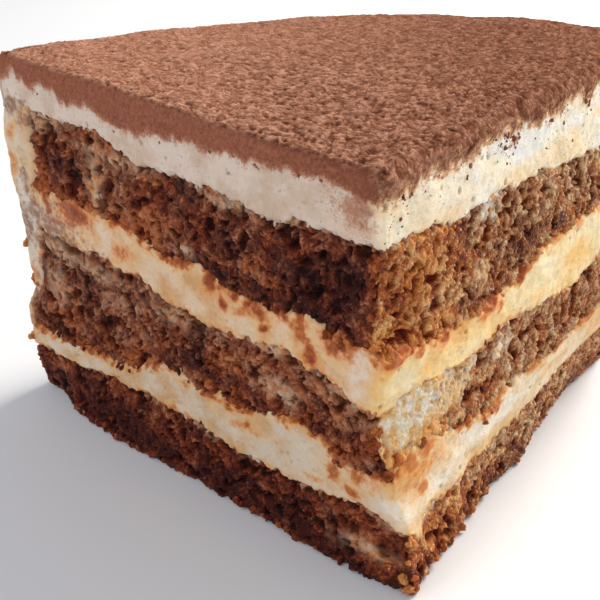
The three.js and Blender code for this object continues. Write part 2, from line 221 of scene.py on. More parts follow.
SOAKED_CREAM = dict(
    left=(
        (37.5, 46.2, 1.3, 2.8), (34.8, 43.6, 0.8, 2.6), (32.2, 45.8, 1.8, 1.4), (26.8, 44.6, 3, 1.9),
        (25.2, 42.2, 1.4, 2.4), (21, 45.8, 2.2, 1.4), (17.8, 44.4, 1.7, 3), (15.6, 40.8, 1.8, 3.4),
        (9.6, 45.4, 4.4, 3), (52.5, 22.4, 1.8, 1.8), (40, 23.2, 4.4, 1.1), (10.6, 20.4, 1.6, 2.8),
        (7.6, 17.6, 1.3, 1.8), (6, 21.8, 1.5, 2.4), (72.5, 48.6, 7, 3.6), (1.4, 44.9, 3, 1.3),
        (46, 47.2, 3, 1), (2.2, 23.2, 2.6, 2), (29.5, 20.5, 0.8, 1.8), (80, 49, 1.2, 4), (62, 19.6, 2.2, 1),
    ),
    right=(
        (1.6, 44.9, 3, 1.3), (8.5, 44.4, 2, 1.1), (21, 44.4, 3, 1.1), (4.6, 24.4, 3.8, 2.8),
        (8, 18.2, 2.2, 1.8), (10.4, 25.4, 4, 1.9), (32, 41, 2, 2), (28, 41.8, 3, 1.4),
        (38.5, 44.4, 3.6, 1.5), (14.5, 43.2, 2, 1.4),
    ),
)
GOLDEN_CREAM = dict(
    left=(
        (60, 45, 4, 2.4), (78.5, 45.5, 3.4, 1.6), (87.8, 54.5, 2.4, 5), (86.8, 61, 1.6, 2.4),
        (31, 43, 3, 1.6), (88.5, 31, 1.6, 3), (30, 19.5, 6, 1.4), (14.5, 16, 2.6, 1), (2, 21.5, 4, 2.6),
        (5, 66.8, 5, 2.4),
    ),
    right=((9, 22, 11, 4), (5, 20, 5, 3), (16, 43, 9, 2.2), (28, 43.6, 7, 1.6)),
)
DUSKY_CREAM = dict(
    left=(
        (80.5, 64.6, 5, 1.8), (86, 66, 4, 2), (79.5, 43, 8, 6), (83.5, 45, 3.6, 4), (84, 38, 3, 5),
        (87.5, 42, 2.6, 6), (88, 25, 2, 6), (85, 52, 1.4, 4), (5, 68.4, 5, 1.8),
    ),
    right=(),
)
PALE_CREAM = dict(
    left=((4, 41.6, 5, 3.4), (64, 46.5, 6, 2), (86, 56, 2, 12), (80, 43, 9, 7)),
    right=((10, 15.6, 8, 1.6), (1.6, 17, 3, 3), (30, 20, 12, 5), (44, 70, 16, 5), (78, 70, 10, 5)),
)
# Lumps on the sides: face, along, height, size and how soaked. Past the cake's radius they sit on the rim
LEFT, RIGHT = 0, 1
LARGE_CRUMBS = (
    (LEFT, 3.2, 4.6, 2.2, 0.1), (LEFT, 1.4, 3.6, 2.4, 0.4), (LEFT, 9.3, 45.6, 3.8, 1),
    (RIGHT, 1.4, 46.2, 1.9, 0.9), (RIGHT, 6, 45.6, 1.7, 0.7), (LEFT, 11.6, 45.9, 2.8, 0.9),
    (LEFT, 91, 37, 2.6, 1), (LEFT, 90.6, 28.5, 2.4, 0.9), (LEFT, 91.2, 18.8, 2, 0.6),
    (LEFT, 90, 13, 1.8, 0.6), (RIGHT, 3, 26, 2.1, 0.9), (LEFT, 10.5, 22.6, 1.6, 0.8),
)
# Smaller ones down the sponge's corner at the tip: from height, to height and count
CORNER_CRUMBS = ((1, 12, 7), (24, 36, 6), (47, 62, 8))


# Curves and noise

def curve(pairs, x):
    """Smooth curve through the given pairs, level beyond both ends."""
    x = np.asarray(x, float)
    places, values = np.array(pairs, float).T
    if len(places) == 1:
        return np.full(x.shape, values[0])
    after = np.clip(np.searchsorted(places, x), 1, len(places) - 1)
    share = smooth(x, places[after - 1], places[after])
    return values[after - 1] + (values[after] - values[after - 1]) * share


def smooth(x, low, high):
    """Smooth step from 0 at low to 1 at high."""
    share = np.clip((np.asarray(x, float) - low) / (high - low), 0, 1)
    return share * share * (3 - 2 * share)


def fading(distance, width):
    """1 at a border and past it, falling to 0 over about twice the width."""
    return np.exp(-((np.maximum(distance, 0) / width) ** 2))


def cell_random(cells, seed):
    """Repeatable random number from 0 to 1 for each whole-numbered cell."""
    mask = 0xFFFFFFFF
    mixed = cells[..., 0] * 0x9E3779B1 + cells[..., 1] * 0x85EBCA77 + cells[..., 2] * 0xC2B2AE3D
    mixed = (mixed + seed * 0x27D4EB2F) & mask
    for shift, factor in ((15, 0x2C1B3C6D), (12, 0x297A2D39), (15, 0x165667B1)):
        mixed ^= mixed >> shift
        mixed = (mixed * factor) & mask
    mixed ^= mixed >> 16
    return mixed / float(1 << 32)


def noise(points, size, seed):
    """Smooth noise from -1 to 1 that varies over the given size."""
    scaled = points / size
    cell = np.floor(scaled).astype(np.int64)
    part = scaled - cell
    part = part * part * (3 - 2 * part)
    total = np.zeros(points.shape[:-1])
    for corner in np.ndindex(2, 2, 2):
        corner = np.array(corner)
        weight = np.prod(np.where(corner, part, 1 - part), axis=-1)
        total += weight * cell_random(cell + corner, seed)
    return 2 * total - 1


def fractal(points, size, seed, octaves=3):
    """Noise with finer noise on it, from about -1 to 1."""
    weights = [0.5 ** octave for octave in range(octaves)]
    total = sum(weight * noise(points, size * weight, seed + i) for i, weight in enumerate(weights))
    return total / sum(weights) * 1.5


def warped(points, size, amount, seed):
    """Points moved about by noise."""
    moves = [noise(points, size, seed + axis) for axis in range(3)]
    return points + amount * np.stack(moves, axis=-1)


def lumps(points, size, seed):
    """Packed round lumps: a dome from 0 at each seam to 1 in each middle, and a random number for each."""
    scaled = points / size
    cell = np.floor(scaled).astype(np.int64)
    nearest = np.full(points.shape[:-1], 9.0)
    second = nearest.copy()
    name = np.zeros(points.shape[:-1])
    for near in np.ndindex(3, 3, 3):
        other = cell + (np.array(near) - 1)
        jitter = np.stack([cell_random(other, seed + axis) for axis in range(3)], axis=-1)
        apart = np.sqrt(((other + jitter - scaled) ** 2).sum(axis=-1))
        closer = apart < nearest
        second = np.where(closer, nearest, np.minimum(second, apart))
        name = np.where(closer, cell_random(other, seed + 3), name)
        nearest = np.where(closer, apart, nearest)
    share = 2 * nearest / (nearest + second + 1e-9)
    return np.sqrt(np.clip(1 - share * share, 0, 1)), name


# Plan places: a pair (p, q) lies p along the left cut face and q along the right one

def from_tip(places):
    return np.hypot(places[..., 0], places[..., 1])


def rightward(places):
    """How much farther each plan place lies along the right face than along the left one."""
    return places[..., 1] - places[..., 0]


def turns_of(places):
    """How far round from the left cut face each plan place lies, in radians."""
    return np.arctan2(np.maximum(places[..., 1], 0), np.maximum(places[..., 0], 1e-9))


def flat_points(places):
    """Plan places as points at height 0, for noise that varies in plan alone."""
    return np.concatenate([places, 0 * places[..., :1]], -1)


def way_out(outs):
    """Directions in plan as directions in space, with the tip to the front."""
    return flat_points(np.stack([rightward(outs), outs.sum(-1)], -1) * HALF_ROOT)


# Form of the slice

def tip_shift(along, height):
    return curve(TIP_SHIFT, height) * np.exp(-((along / TIP_SHIFT_REACH) ** 2))


def left_out(along, height):
    foot = curve(LEFT_FOOT_OUT, along) * np.clip(1 - height / LEFT_FOOT_HEIGHT, 0, 1)
    return (MIDDLE_HEIGHT - height) * LEFT_LEAN + foot - HALF_ROOT * tip_shift(along, height)


def right_out(along, height):
    foot = curve(RIGHT_FOOT_OUT, along) * np.clip(1 - height / RIGHT_FOOT_HEIGHT, 0, 1)
    return (MIDDLE_HEIGHT - height) * RIGHT_LEAN + foot + HALF_ROOT * tip_shift(along, height)


def boundary_height(boundary, places):
    distance = from_tip(places)
    share = smooth(turns_of(places), 0, QUARTER)
    stray = (1 - share) * curve(boundary["left"], distance) + share * curve(boundary["right"], distance)
    return boundary["height"] + stray * fading(places.min(-1), STRAY_DEPTH)


def rim_swell(places, height):
    """How far the coat swells out near the left end of the rim."""
    near = smooth(np.degrees(turns_of(places)), SWELL_REACH, 0) * smooth(from_tip(places), *SWELL_BAND)
    return curve(LEFT_SWELL, height) * near


def leaned(places, height):
    """Points in space of nominal plan places at a height, with the lean and stray of every side."""
    rim_radius = CAKE_RADIUS + (MIDDLE_HEIGHT - height) * RIM_LEAN
    scale = (rim_radius + rim_swell(places, height)) / CAKE_RADIUS
    p = places[..., 0] * scale
    q = places[..., 1] * scale
    moved_p = p - right_out(q, height) * np.clip(1 - p / TIP_BLEND, 0, 1)
    moved_q = q - left_out(p, height) * np.clip(1 - q / TIP_BLEND, 0, 1)
    points = way_out(np.stack([moved_p, moved_q], -1)) + (*AXIS, 0.0)
    points[..., 2] = height
    return points


def steps(start, end, step):
    """Even places from start up to, but without, end."""
    count = max(2, int(round(abs(end - start) / step)))
    return start + (end - start) * np.arange(count) / count


def quarter_arc(centre_p, centre_q, radius, start, end, step):
    """Places on an arc and the way out from them."""
    turns = steps(start, end, step / radius)
    out = np.stack([np.cos(turns), np.sin(turns)], axis=-1)
    return np.array([centre_p, centre_q]) + radius * out, out


def face_steps(start, end, step):
    """Places from start up to end along a face, finer near the tip."""
    fine, coarse = step
    growth = (coarse / fine - 1) / 2
    count = int((end - start) / (fine * (1 + growth)))
    share = np.arange(count) / count
    return start + (end - start) * (share + growth * share ** 2) / (1 + growth)


def rim_corner(radius):
    """Where the rounded corner of a face and the rim is centred: how far round, and how far along."""
    reach = radius - CORNER_FILLET
    turn = math.asin(CORNER_FILLET / reach)
    return turn, reach * math.cos(turn)


def round_the_rim(radius, right, left, step, rim_step):
    """Places and ways out through the given places on the right face, round the rim and on the left face."""
    turn, end = rim_corner(radius)
    corner = CORNER_FILLET
    return [
        (np.stack([0 * right, right], -1), np.tile([-1.0, 0.0], (len(right), 1))),
        quarter_arc(corner, end, corner, math.pi, QUARTER - turn, step),
        quarter_arc(0, 0, radius, QUARTER - turn, turn, rim_step),
        quarter_arc(end, corner, corner, turn, -QUARTER, step),
        (np.stack([left, 0 * left], -1), np.tile([0.0, -1.0], (len(left), 1))),
    ]


def joined(parts):
    places, outs = zip(*parts)
    return np.concatenate(places), np.concatenate(outs)


def outline(radius, step, rim_step):
    """Nominal outline of a layer, from the tip up the right face: plan places and ways out."""
    tip = TIP_FILLET
    _, face_end = rim_corner(radius)
    right = face_steps(tip, face_end, step)
    left = np.concatenate([[face_end], right[:0:-1]])
    tip_arc = quarter_arc(tip, tip, tip, 3 * QUARTER, math.pi, step[0])
    return joined([*round_the_rim(radius, right, left, step[1], rim_step), tip_arc])


# Meshes

def ring_faces(index):
    """Quads between rows of point numbers, each row a closed ring."""
    after = np.roll(index, -1, axis=1)
    return np.stack([index[:-1], after[:-1], after[1:], index[1:]], axis=-1).reshape(-1, 4)


def numbered(rows, columns, first=0):
    """Point numbers in rows and columns."""
    return first + np.arange(rows * columns).reshape(rows, columns)


def fan_faces(ring, centre, upward):
    """Triangles from a ring of point numbers to a centre point."""
    after = np.roll(ring, -1)
    pair = (ring, after) if upward else (after, ring)
    return np.stack([*pair, np.full(len(ring), centre)], axis=-1)


def added(name, data):
    """New object in the scene."""
    thing = bpy.data.objects.new(name, data)
    bpy.context.scene.collection.objects.link(thing)
    return thing


def build_mesh(name, points, quads, triangles, marks, material):
    """Piece in metres from points in millimetres, with a value of each mark at each point."""
    mesh = bpy.data.meshes.new(name)
    mesh.vertices.add(len(points))
    mesh.vertices.foreach_set("co", (points * MM).astype(np.float32).ravel())
    corners = np.concatenate([quads.ravel(), triangles.ravel()]).astype(np.int32)
    sizes = np.concatenate([np.full(len(quads), 4), np.full(len(triangles), 3)])
    starts = np.concatenate([[0], np.cumsum(sizes)[:-1]]).astype(np.int32)
    mesh.loops.add(len(corners))
    mesh.loops.foreach_set("vertex_index", corners)
    mesh.polygons.add(len(sizes))
    mesh.polygons.foreach_set("loop_start", starts)
    mesh.polygons.foreach_set("use_smooth", np.ones(len(sizes), bool))
    for mark, values in marks.items():
        layer = mesh.attributes.new(mark, "FLOAT", "POINT")
        layer.data.foreach_set("value", values.astype(np.float32).ravel())
    mesh.update(calc_edges=True)
    mesh.validate()
    mesh.materials.append(material)
    piece = added(name, mesh)
    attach(piece, "root")
    return piece


def each(marks, change):
    """The marks with their values changed."""
    return {mark: change(values) for mark, values in marks.items()}


def ring_body(name, rings, marks, material):
    """Closed body from a stack of rings, bottom first, closed by a fan at each end."""
    index = numbered(*rings.shape[:2])
    points = np.concatenate([rings.reshape(-1, 3), rings[[0, -1]].mean(1)])
    triangles = np.concatenate([
        fan_faces(index[0], index.size, upward=False),
        fan_faces(index[-1], index.size + 1, upward=True),
    ])
    marks = each(marks, lambda values: np.concatenate([values.ravel(), values[[0, -1], 0]]))
    return build_mesh(name, points, ring_faces(index), triangles, marks, material)


# Walls: rows of points on the sides of a layer, with what is known of each of them

def corner_turns(places):
    """How far round the rim each plan place lies from the nearer cut face, in radians, and 0 off the rim."""
    turns = turns_of(places)
    return np.minimum(turns, QUARTER - turns) * smooth(from_tip(places), 60, 80)


def off_rim(places):
    """1 on the cut faces, fading to 0 round the rim, whose colours are those of the left face."""
    return smooth(corner_turns(places), 0.5, 0.05)


def face_shares(places, stray=0.0):
    """How far each plan place belongs to the right cut face rather than the left one, where colours are
    partly painted light.
    """
    return smooth(rightward(places) + stray, -1.2, 0.6) * off_rim(places)


def soft_shares(places, points):
    """The same for cream, whose light carries round the tip."""
    return smooth(rightward(places) + 0.8 * fractal(points, 2.2, SHARE_SEED), -4.2, 0.4) * off_rim(places)


def spotted(wall, spots, seed):
    """How deep each wall point lies in the nearest spot, from 0 to 1, fading softly with wavy outlines."""
    points = wall.base
    wave = 1 + 0.3 * fractal(points, 1.6, seed)
    alongs = wall.along * (1 + corner_turns(wall.places)) + 0.9 * noise(points, 2.4, seed + 3)
    heights = wall.heights + 0.9 * noise(points, 2.4, seed + 4)
    depth = np.zeros(points.shape[:-1])
    for face, on_face in (("left", 1 - wall.right), ("right", wall.right)):
        for along, height, half_length, half_height in spots[face]:
            apart = np.hypot((alongs - along) / half_length, (heights - height) / half_height)
            depth = np.maximum(depth, on_face * fading(apart * wave, 1.0))
    return depth


def fray(boundary, points):
    """How far a border strays up or down where crumbs and cream tear into each other."""
    seed = FRAY_SEED + int(10 * boundary["height"])
    return 0.8 * fractal(points, 2.4, seed) + 0.55 * fractal(points, 0.9, seed + 7, 2)


def sink(inside, start, slope):
    """How far a layer dips behind its neighbour. Inside is the distance from the border into the layer."""
    depth = np.clip(start - inside, 0, None)
    return -slope * depth - 0.15 * depth ** 2


def wall_rows(lower, upper, places, step):
    """Rows of plan places and their heights, from under a layer's lower border to over its upper one."""
    under = 0.0 if lower is BASE else OVERLAP
    over = 0.0 if upper is CREAM_TOP else OVERLAP
    low = boundary_height(lower, places)
    high = boundary_height(upper, places)
    rows = int(round((upper["height"] - lower["height"] + under + over) / step)) + 1
    share = np.linspace(0, 1, rows)[:, None]
    heights = (low - under) * (1 - share) + (high + over) * share
    grid = np.broadcast_to(places, (rows, *places.shape))
    return SimpleNamespace(places=grid, heights=heights, above=heights - low, below=high - heights)


def set_in_space(wall, lower, upper, outs):
    """Give a wall its points in space, and fray its borders."""
    wall.base = leaned(wall.places, wall.heights)
    wall.out = np.broadcast_to(way_out(outs), wall.base.shape)
    wall.along = from_tip(wall.places)
    if lower is not BASE:
        wall.above = wall.above - fray(lower, wall.base)
    if upper is not CREAM_TOP:
        wall.below = wall.below + fray(upper, wall.base)


def layer_wall(lower, upper, step, coated):
    """Wall of a layer that reaches the rim, or that ends behind the coat of cream."""
    radius = CAKE_RADIUS
    if coated:
        middle = (lower["height"] + upper["height"]) / 2
        radius = CAKE_RADIUS - float(curve(COAT_THICKNESS, middle)) + OVERLAP
    places, outs = outline(radius, step, HIDDEN_STEP if coated else RIM_STEP)
    wall = wall_rows(lower, upper, places, step[0])
    set_in_space(wall, lower, upper, outs)
    return wall


def finish_layer(node, wall, height, marks, material):
    """Closed body of a layer from its wall and the height of its relief."""
    rings = wall.base + height[..., None] * wall.out
    wall.surface = rings
    middle = rings.mean(axis=(0, 1))
    inner = middle + HIDDEN_SCALE * (rings[[0, -1]] - middle)
    inner[..., 2] = rings[[0, -1], :, 2]
    rings = np.concatenate([inner[:1], rings, inner[1:]])
    marks = each(marks, lambda values: np.concatenate([values[:1], values, values[-1:]]))
    piece = ring_body(node + "_surface", rings, marks, material)
    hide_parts(node)
    return wall


def coat_inside(wall):
    """Distance from each wall point inward to the rim's coat."""
    inner = CAKE_RADIUS - curve(COAT_THICKNESS, wall.heights)
    return inner - wall.along + 0.9 * fractal(wall.base, 3.0, COAT_SEED)


def off_coat(wall, border):
    """Distance to a border, made large where the neighbour across it is the coat, which soaks nothing."""
    return border + 20 * smooth(coat_inside(wall), 0.5, -1.0)


# Sponge

def sponge_relief(points, seed):
    """Height of the crumb in mm, with how high each point stands in its lumps and a tone for each lump."""
    moved = warped(points, 1.8, 0.65, seed)
    moved = warped(moved, 0.7, 0.22, seed + 5)
    big, big_name = lumps(moved, 2.5, seed + 10)
    mid, mid_name = lumps(moved, 1.25, seed + 20)
    fine, fine_name = lumps(moved, 0.62, seed + 30)
    grain = noise(moved, 0.42, seed + 35)
    pore = smooth(fractal(moved, 2.2, seed + 50), 0.25, 0.75)
    pit = smooth(fractal(moved, 1.0, seed + 60, 2), 0.2, 0.7)
    crumb = 0.25 * big ** 2 * big_name + 0.5 * mid ** 2 * (0.2 + 0.8 * mid_name)
    crumb += 0.42 * fine ** 1.5 * (0.1 + 0.9 * fine_name) + 0.2 * grain - 1.15 * pore - 0.65 * pit
    height = 0.5 * fractal(points, 8.0, seed + 40, 2) + crumb - 0.32
    # How high each point stands in its lumps; the material paints the low parts darker as shade
    stand = np.clip((crumb + 0.6) / 1.25, 0, 1)
    tone = 0.3 * mid_name + 0.3 * fine_name + 0.1 * big_name + 0.15 + 0.25 * fractal(moved, 1.6, seed + 45)
    return height, stand, tone


def sponge_layer(name, lower, upper, seed, coated, material):
    """A sponge layer: packed crumb on its sides, dipping behind its neighbours at every border."""
    on_floor = lower is BASE
    wall = layer_wall(lower, upper, SPONGE_STEP, coated)
    points = wall.base
    right = face_shares(wall.places, -0.6 + 1.7 * fractal(points, 2.6, seed + 3))
    wall.right = right
    middle = (lower["height"] + upper["height"]) / 2
    pulled = points.copy()
    pulled[..., 2] = middle + (pulled[..., 2] - middle) * (1 - 0.18 * right)
    height, stand, tone = sponge_relief(pulled, seed)
    edge = wall.below if on_floor else np.minimum(wall.above, wall.below)
    if coated:
        edge = np.minimum(edge, coat_inside(wall))
    light = spotted(wall, LIGHT_SPONGE, seed + 86)
    shallow = light * right
    fine = 0.26 * noise(points, 1.0, seed + 95) + 0.3 * noise(points, 0.48, seed + 96)
    height = height * (1 - 0.72 * shallow) + shallow * fine
    # Less painted shade in the light patches on the right face
    stand = 1 - (1 - stand) * (1 - 0.8 * shallow) + 0.5 * shallow * fine
    marks = sponge_marks(wall, stand, tone, light, edge, seed)
    smeared, _ = cream_relief(points, seed + 90)
    cover = (0.85 - 0.4 * right) * marks["creamy"]
    height = height * (1 - cover) + (smeared + 0.1) * cover + sink(edge, *SPONGE_SINK)
    if on_floor:
        height = height - 0.6 * smooth(wall.above, 1.2, 0.0)
    return finish_layer(name, wall, height, marks, material)


def sponge_marks(wall, stand, tone, light, edge, seed):
    """What colours the sponge: how deep, light, golden, creamy, soaked and warm each point is."""
    points, right, heights = wall.base, wall.right, wall.heights
    near_tip = right * smooth(wall.along, 36, 6)
    lace = smooth(fractal(points, 1.3, seed + 55), -0.5, 0.5)
    creamy = smooth(fractal(points, 2.0, seed + 60, 4) + 1.3 * fading(wall.below, 1.3), 0.7, 1.45)
    creamy *= (0.35 + 0.65 * lace) * (0.3 + 0.7 * stand)
    smeared = np.minimum(1.5 * spotted(wall, SMEARED_SPONGE, seed + 65), 1)
    smeared = smeared * (0.6 + 0.4 * lace) * (0.55 + 0.45 * smooth(stand, 0.1, 0.5))
    creamy = np.maximum(creamy, smeared)
    soaked = spotted(wall, SOAKED_SPONGE, seed + 75)
    near_foot = fading(wall.above, 1.6) * (heights > BOTTOM_SPONGE_TOP["height"])
    drawn_up = (0.5 + 0.3 * right) * fading(edge, 1.4) + 0.6 * near_foot + 0.55 * near_tip
    caramel = smooth(fractal(points, 2.6, seed + 70, 4) + drawn_up, 0.5, 1.15)
    caramel = np.maximum(caramel * (1 - 0.8 * light * right), soaked)
    dark = spotted(wall, DARK_SPONGE, seed + 85) + 0.6 * smooth(heights, 9, 2)
    dark = dark + 0.25 * smooth(heights, 16, 13) * (1 - right)
    warm = fractal(points, 3.6, seed + 88) + 0.5 * near_tip - 0.25 * right * (1 - near_tip)
    warm = smooth(warm + 0.5 * (1 - right) * smooth(heights, 17, 10), -0.5, 0.6)
    patches = fractal(points, 5.0, seed + 50)
    tone = tone + (0.24 - 0.09 * right) * patches - 0.36 * dark + (0.2 + 0.4 * right) * light + 0.25 * soaked
    return dict(
        stand=stand, tone=np.clip(tone, 0, 1), right=right, creamy=creamy, caramel=caramel * (1 - creamy),
        warm=warm,
    )


# Cream

def drawn(points):
    """Points squeezed along the right cut face, so that noise at them is drawn out along it."""
    run = (points[..., 0] + points[..., 1]) * HALF_ROOT
    return points - (0.55 * run)[..., None] * np.array([HALF_ROOT, HALF_ROOT, 0.0])


def cream_relief(points, seed=CREAM_SEED):
    """Height of the cream in mm, and its pores: soft waves, torn drag marks and a few small pores."""
    height = 0.3 * fractal(points, 6.0, seed) + 0.22 * fractal(drawn(points), 1.5, seed + 5, 4)
    height = height + 0.07 * fractal(points, 0.8, seed + 7, 2)
    dome, name = lumps(points, 1.5, seed + 9)
    pore = smooth(name, 0.12, 0.05) * smooth(dome, 0.78, 0.93)
    return height - 0.6 * pore, pore


def cream_layer(name, lower, upper, coated, material):
    """A cream layer between two sponges."""
    wall = layer_wall(lower, upper, CREAM_STEP, coated)
    wall.right = soft_shares(wall.places, wall.base)
    height, pore = cream_relief(wall.base)
    edge = np.minimum(wall.above, wall.below)
    soaked_edge = np.minimum(wall.above, off_coat(wall, wall.below))
    if coated:
        edge = np.minimum(edge, coat_inside(wall))
        soaked_edge = edge
    marks = cream_marks(wall, soaked_edge, pore, soaked=1.0)
    height = height + sink(edge, *CREAM_SINK) + 0.2 * marks["stain"]
    return finish_layer(name, wall, height, marks, material)


def cream_marks(wall, edge, pore, soaked):
    """What colours the cream: soaked patches, thicker toward the sponge, and pores."""
    points = drawn(wall.base)
    inside = np.maximum(edge, 0)
    patch = fractal(points * np.array([1.0, 1.0, 0.7]), 2.8, CREAM_SEED + 70, 4)
    stain = 0.8 * smooth(patch + 0.7 * fading(edge, 1.8), 0.4, 1.8) * soaked
    from_above = fading(wall.below, 1.3) if soaked == 1.0 else 0.0
    fringe = (0.7 + 0.25 * from_above) * np.exp(-inside / (0.8 + 0.5 * from_above))
    fringe = fringe * smooth(fractal(points, 1.8, CREAM_SEED + 72), -0.9, 0.6) * soaked ** 2
    drips = spotted(wall, SOAKED_CREAM, CREAM_SEED + 75)
    halo = 0.45 * drips ** 0.35
    drips = drips * (1.0 + 0.3 * fractal(points, 1.0, CREAM_SEED + 74))
    golden = 0.66 * spotted(wall, GOLDEN_CREAM, CREAM_SEED + 76)
    stain = np.max([stain, fringe, drips, halo, golden], axis=0)
    tan = 0.25 + 0.75 * smooth(fractal(points, 4.5, CREAM_SEED + 80, 4), -0.6, 0.8)
    tan = tan - 0.6 * spotted(wall, PALE_CREAM, CREAM_SEED + 85)
    dusk = spotted(wall, DUSKY_CREAM, CREAM_SEED + 87)
    return dict(stain=stain, tan=tan, pore=pore, right=wall.right, dusk=dusk)


def top_cream(material):
    """The top cream layer, with a rounded top edge under the cocoa."""
    wall = layer_wall(TOP_SPONGE_TOP, CREAM_TOP, CREAM_STEP, False)
    wall.right = soft_shares(wall.places, wall.base)
    height, pore = cream_relief(wall.base)
    edge = wall.above
    depth = CREAM_TOP["height"] - wall.heights
    height = height + sink(edge, *CREAM_SINK) - top_inset(depth, top_rounding(wall.places))
    marks = cream_marks(wall, off_coat(wall, edge), pore, soaked=0.55)
    hang = cocoa_hang(wall)
    marks["cocoa"] = cocoa_cover(wall.base, wall.right, hang)
    smudged = smooth(wall.along, 17, 5) * smooth(fractal(wall.base, 2.0, SMUDGE_SEED), -0.8, 0.8)
    smudged *= 0.66 * smooth(hang, -9.5, 0) * (1 - wall.right)
    marks["cocoa"] = np.maximum(marks["cocoa"], smudged)
    return finish_layer("top_cream", wall, height, marks, material)


def coat_loop():
    """Plan loop of the rim's coat: its right end, the rim, its left end and the inside."""
    _, face_end = rim_corner(CAKE_RADIUS)
    inner_radius = CAKE_RADIUS - COAT_DEPTH
    ends = steps(inner_radius, face_end, CREAM_STEP[1])
    outer, outs = joined(round_the_rim(CAKE_RADIUS, ends, ends[::-1], CREAM_STEP[1], RIM_STEP))
    turns = np.linspace(COAT_INSIDE_TURN, QUARTER - COAT_INSIDE_TURN, COAT_INSIDE_COUNT)
    inner = np.stack([np.cos(turns), np.sin(turns)], -1) * inner_radius
    return np.concatenate([outer, inner]), np.concatenate([outs, 0 * inner]), len(outer)


def rim_coat(material):
    """The coat of cream on the rim, with its two ends that show in the cut faces."""
    places, outs, outer = coat_loop()
    wall = wall_rows(LOWER_CREAM_TOP, TOP_SPONGE_TOP, places, CREAM_STEP[1])
    distance = from_tip(places)
    depth = np.clip((CAKE_RADIUS - distance) / COAT_DEPTH, 0, 1)
    depth = depth * (curve(COAT_THICKNESS, wall.heights) + OVERLAP)
    wall.places = wall.places * ((CAKE_RADIUS - depth) / distance)[..., None]
    set_in_space(wall, LOWER_CREAM_TOP, TOP_SPONGE_TOP, outs)
    wall.right = face_shares(wall.places)
    from_sponge = -coat_inside(wall)
    height, pore = cream_relief(wall.base)
    marks = cream_marks(wall, np.abs(from_sponge), pore, soaked=0.9)
    edge = np.minimum(np.minimum(wall.above, wall.below), from_sponge)
    height = height + sink(edge, *CREAM_SINK) + 0.25 * marks["stain"]
    surface = wall.base + height[..., None] * wall.out
    index = numbered(*height.shape)
    caps = coat_caps(outer, index)
    points = surface.reshape(-1, 3)
    piece = build_mesh("rim_cream_surface", points, ring_faces(index), caps, marks, material)
    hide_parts("rim_cream")


def coat_caps(outer, index):
    """Triangles that close the coat's underside and top between its outer and inner edges."""
    stations = index.shape[1]
    faces = []
    i, j = 0, stations - 1
    while i < outer - 1 or j > outer:
        if j <= outer or (i < outer - 1 and i / outer <= (stations - 1 - j) / (stations - outer)):
            faces.append((i, i + 1, j))
            i += 1
        else:
            faces.append((i, j - 1, j))
            j -= 1
    faces = np.array(faces)
    return np.concatenate([faces[:, ::-1], faces + index[-1, 0]])


# Cocoa

def top_inset(depth, rounding):
    """How far a side is set back near the rounded top edge."""
    rise = np.clip(rounding - depth, 0, rounding)
    return rounding - np.sqrt(np.clip(rounding ** 2 - rise ** 2, 0, None))


def top_rounding(places):
    """Radius of the top edge at each plan place."""
    right = smooth(rightward(places), -9.0, 1.0)
    on_rim = smooth(from_tip(places), CAKE_RADIUS - 8, CAKE_RADIUS - 1)
    worn = RIGHT_ROUNDING * right + LEFT_ROUNDING * (1 - right)
    wave = 1 + 0.25 * fractal(flat_points(places), 8.0, ROUNDING_SEED, 2)
    return (worn * (1 - on_rim) + RIM_ROUNDING * on_rim) * wave


def dragged(points, right):
    """Points squeezed upright on the left face, so that noise at them runs down it in drag marks."""
    squeezed = points - np.array([0.0, 0.0, COCOA_TOP])
    squeezed[..., 2] *= 0.35 + 0.65 * right
    return squeezed


def skirt_drop(places, points):
    """How far the cocoa hangs at each place, ragged along its edge."""
    right = smooth(rightward(places), -3.0, 3.0)
    along = from_tip(places)
    on_rim = smooth(places.min(-1), 1.0, 4.0)
    drop = curve(RIGHT_SKIRT_DROP, along) * right + curve(LEFT_SKIRT_DROP, along) * (1 - right)
    drop = drop * (1 - on_rim) + RIM_SKIRT_DROP * on_rim
    marks = dragged(points, right)
    ragged = 0.8 * fractal(marks, 4.0, SKIRT_SEED) + 0.45 * fractal(marks, 1.2, SKIRT_SEED + 10)
    return drop + ragged * (0.7 + 0.6 * right + 0.9 * smooth(along, 58, 76))


def cocoa_hang(wall):
    """How far below each wall point the cocoa's edge hangs."""
    return skirt_drop(wall.places, wall.base) - (COCOA_TOP - wall.heights)


def cocoa_cover(points, right, hang):
    """How far cocoa hides the cream, where the cocoa's edge hangs so far below each point."""
    torn = 0.6 * fractal(points, 1.1, COVER_SEED, 4)
    torn = torn + 0.4 * fractal(dragged(points, right), 0.8, COVER_SEED + 5, 2)
    return smooth(hang / (1.15 + 1.25 * right) + torn, -1.2, 1.2)


def cocoa_relief(points):
    """Height of the dusting in mm: small clumps that run together like worms, with grains on them."""
    moved = warped(points, 1.3, 0.5, COCOA_SEED)
    worm = 1 - np.abs(noise(moved, 1.05, COCOA_SEED + 30)) * 2
    thin = 1 - np.abs(noise(moved, 0.6, COCOA_SEED + 35)) * 2
    clump, clump_name = lumps(moved, 1.0, COCOA_SEED + 10)
    grain, grain_name = lumps(moved, 0.5, COCOA_SEED + 20)
    height = 0.17 * worm + 0.12 * thin + 0.16 * clump * clump_name + 0.17 * grain * (0.3 + 0.7 * grain_name)
    # How high each point stands, which the cocoa material paints darker where low, as shade between clumps
    stand = np.clip((height + 0.09) / 0.5, 0, 1)
    fade = 1.22 - 0.52 * smooth(points[..., 1], AXIS[1] + 10, AXIS[1] + 90)
    tone = 0.15 + 0.3 * clump_name + 0.4 * grain_name
    return (height - 0.2) * fade, np.clip(1 - (1 - stand) * fade, 0, 1), 0.5 + (tone - 0.5) * fade


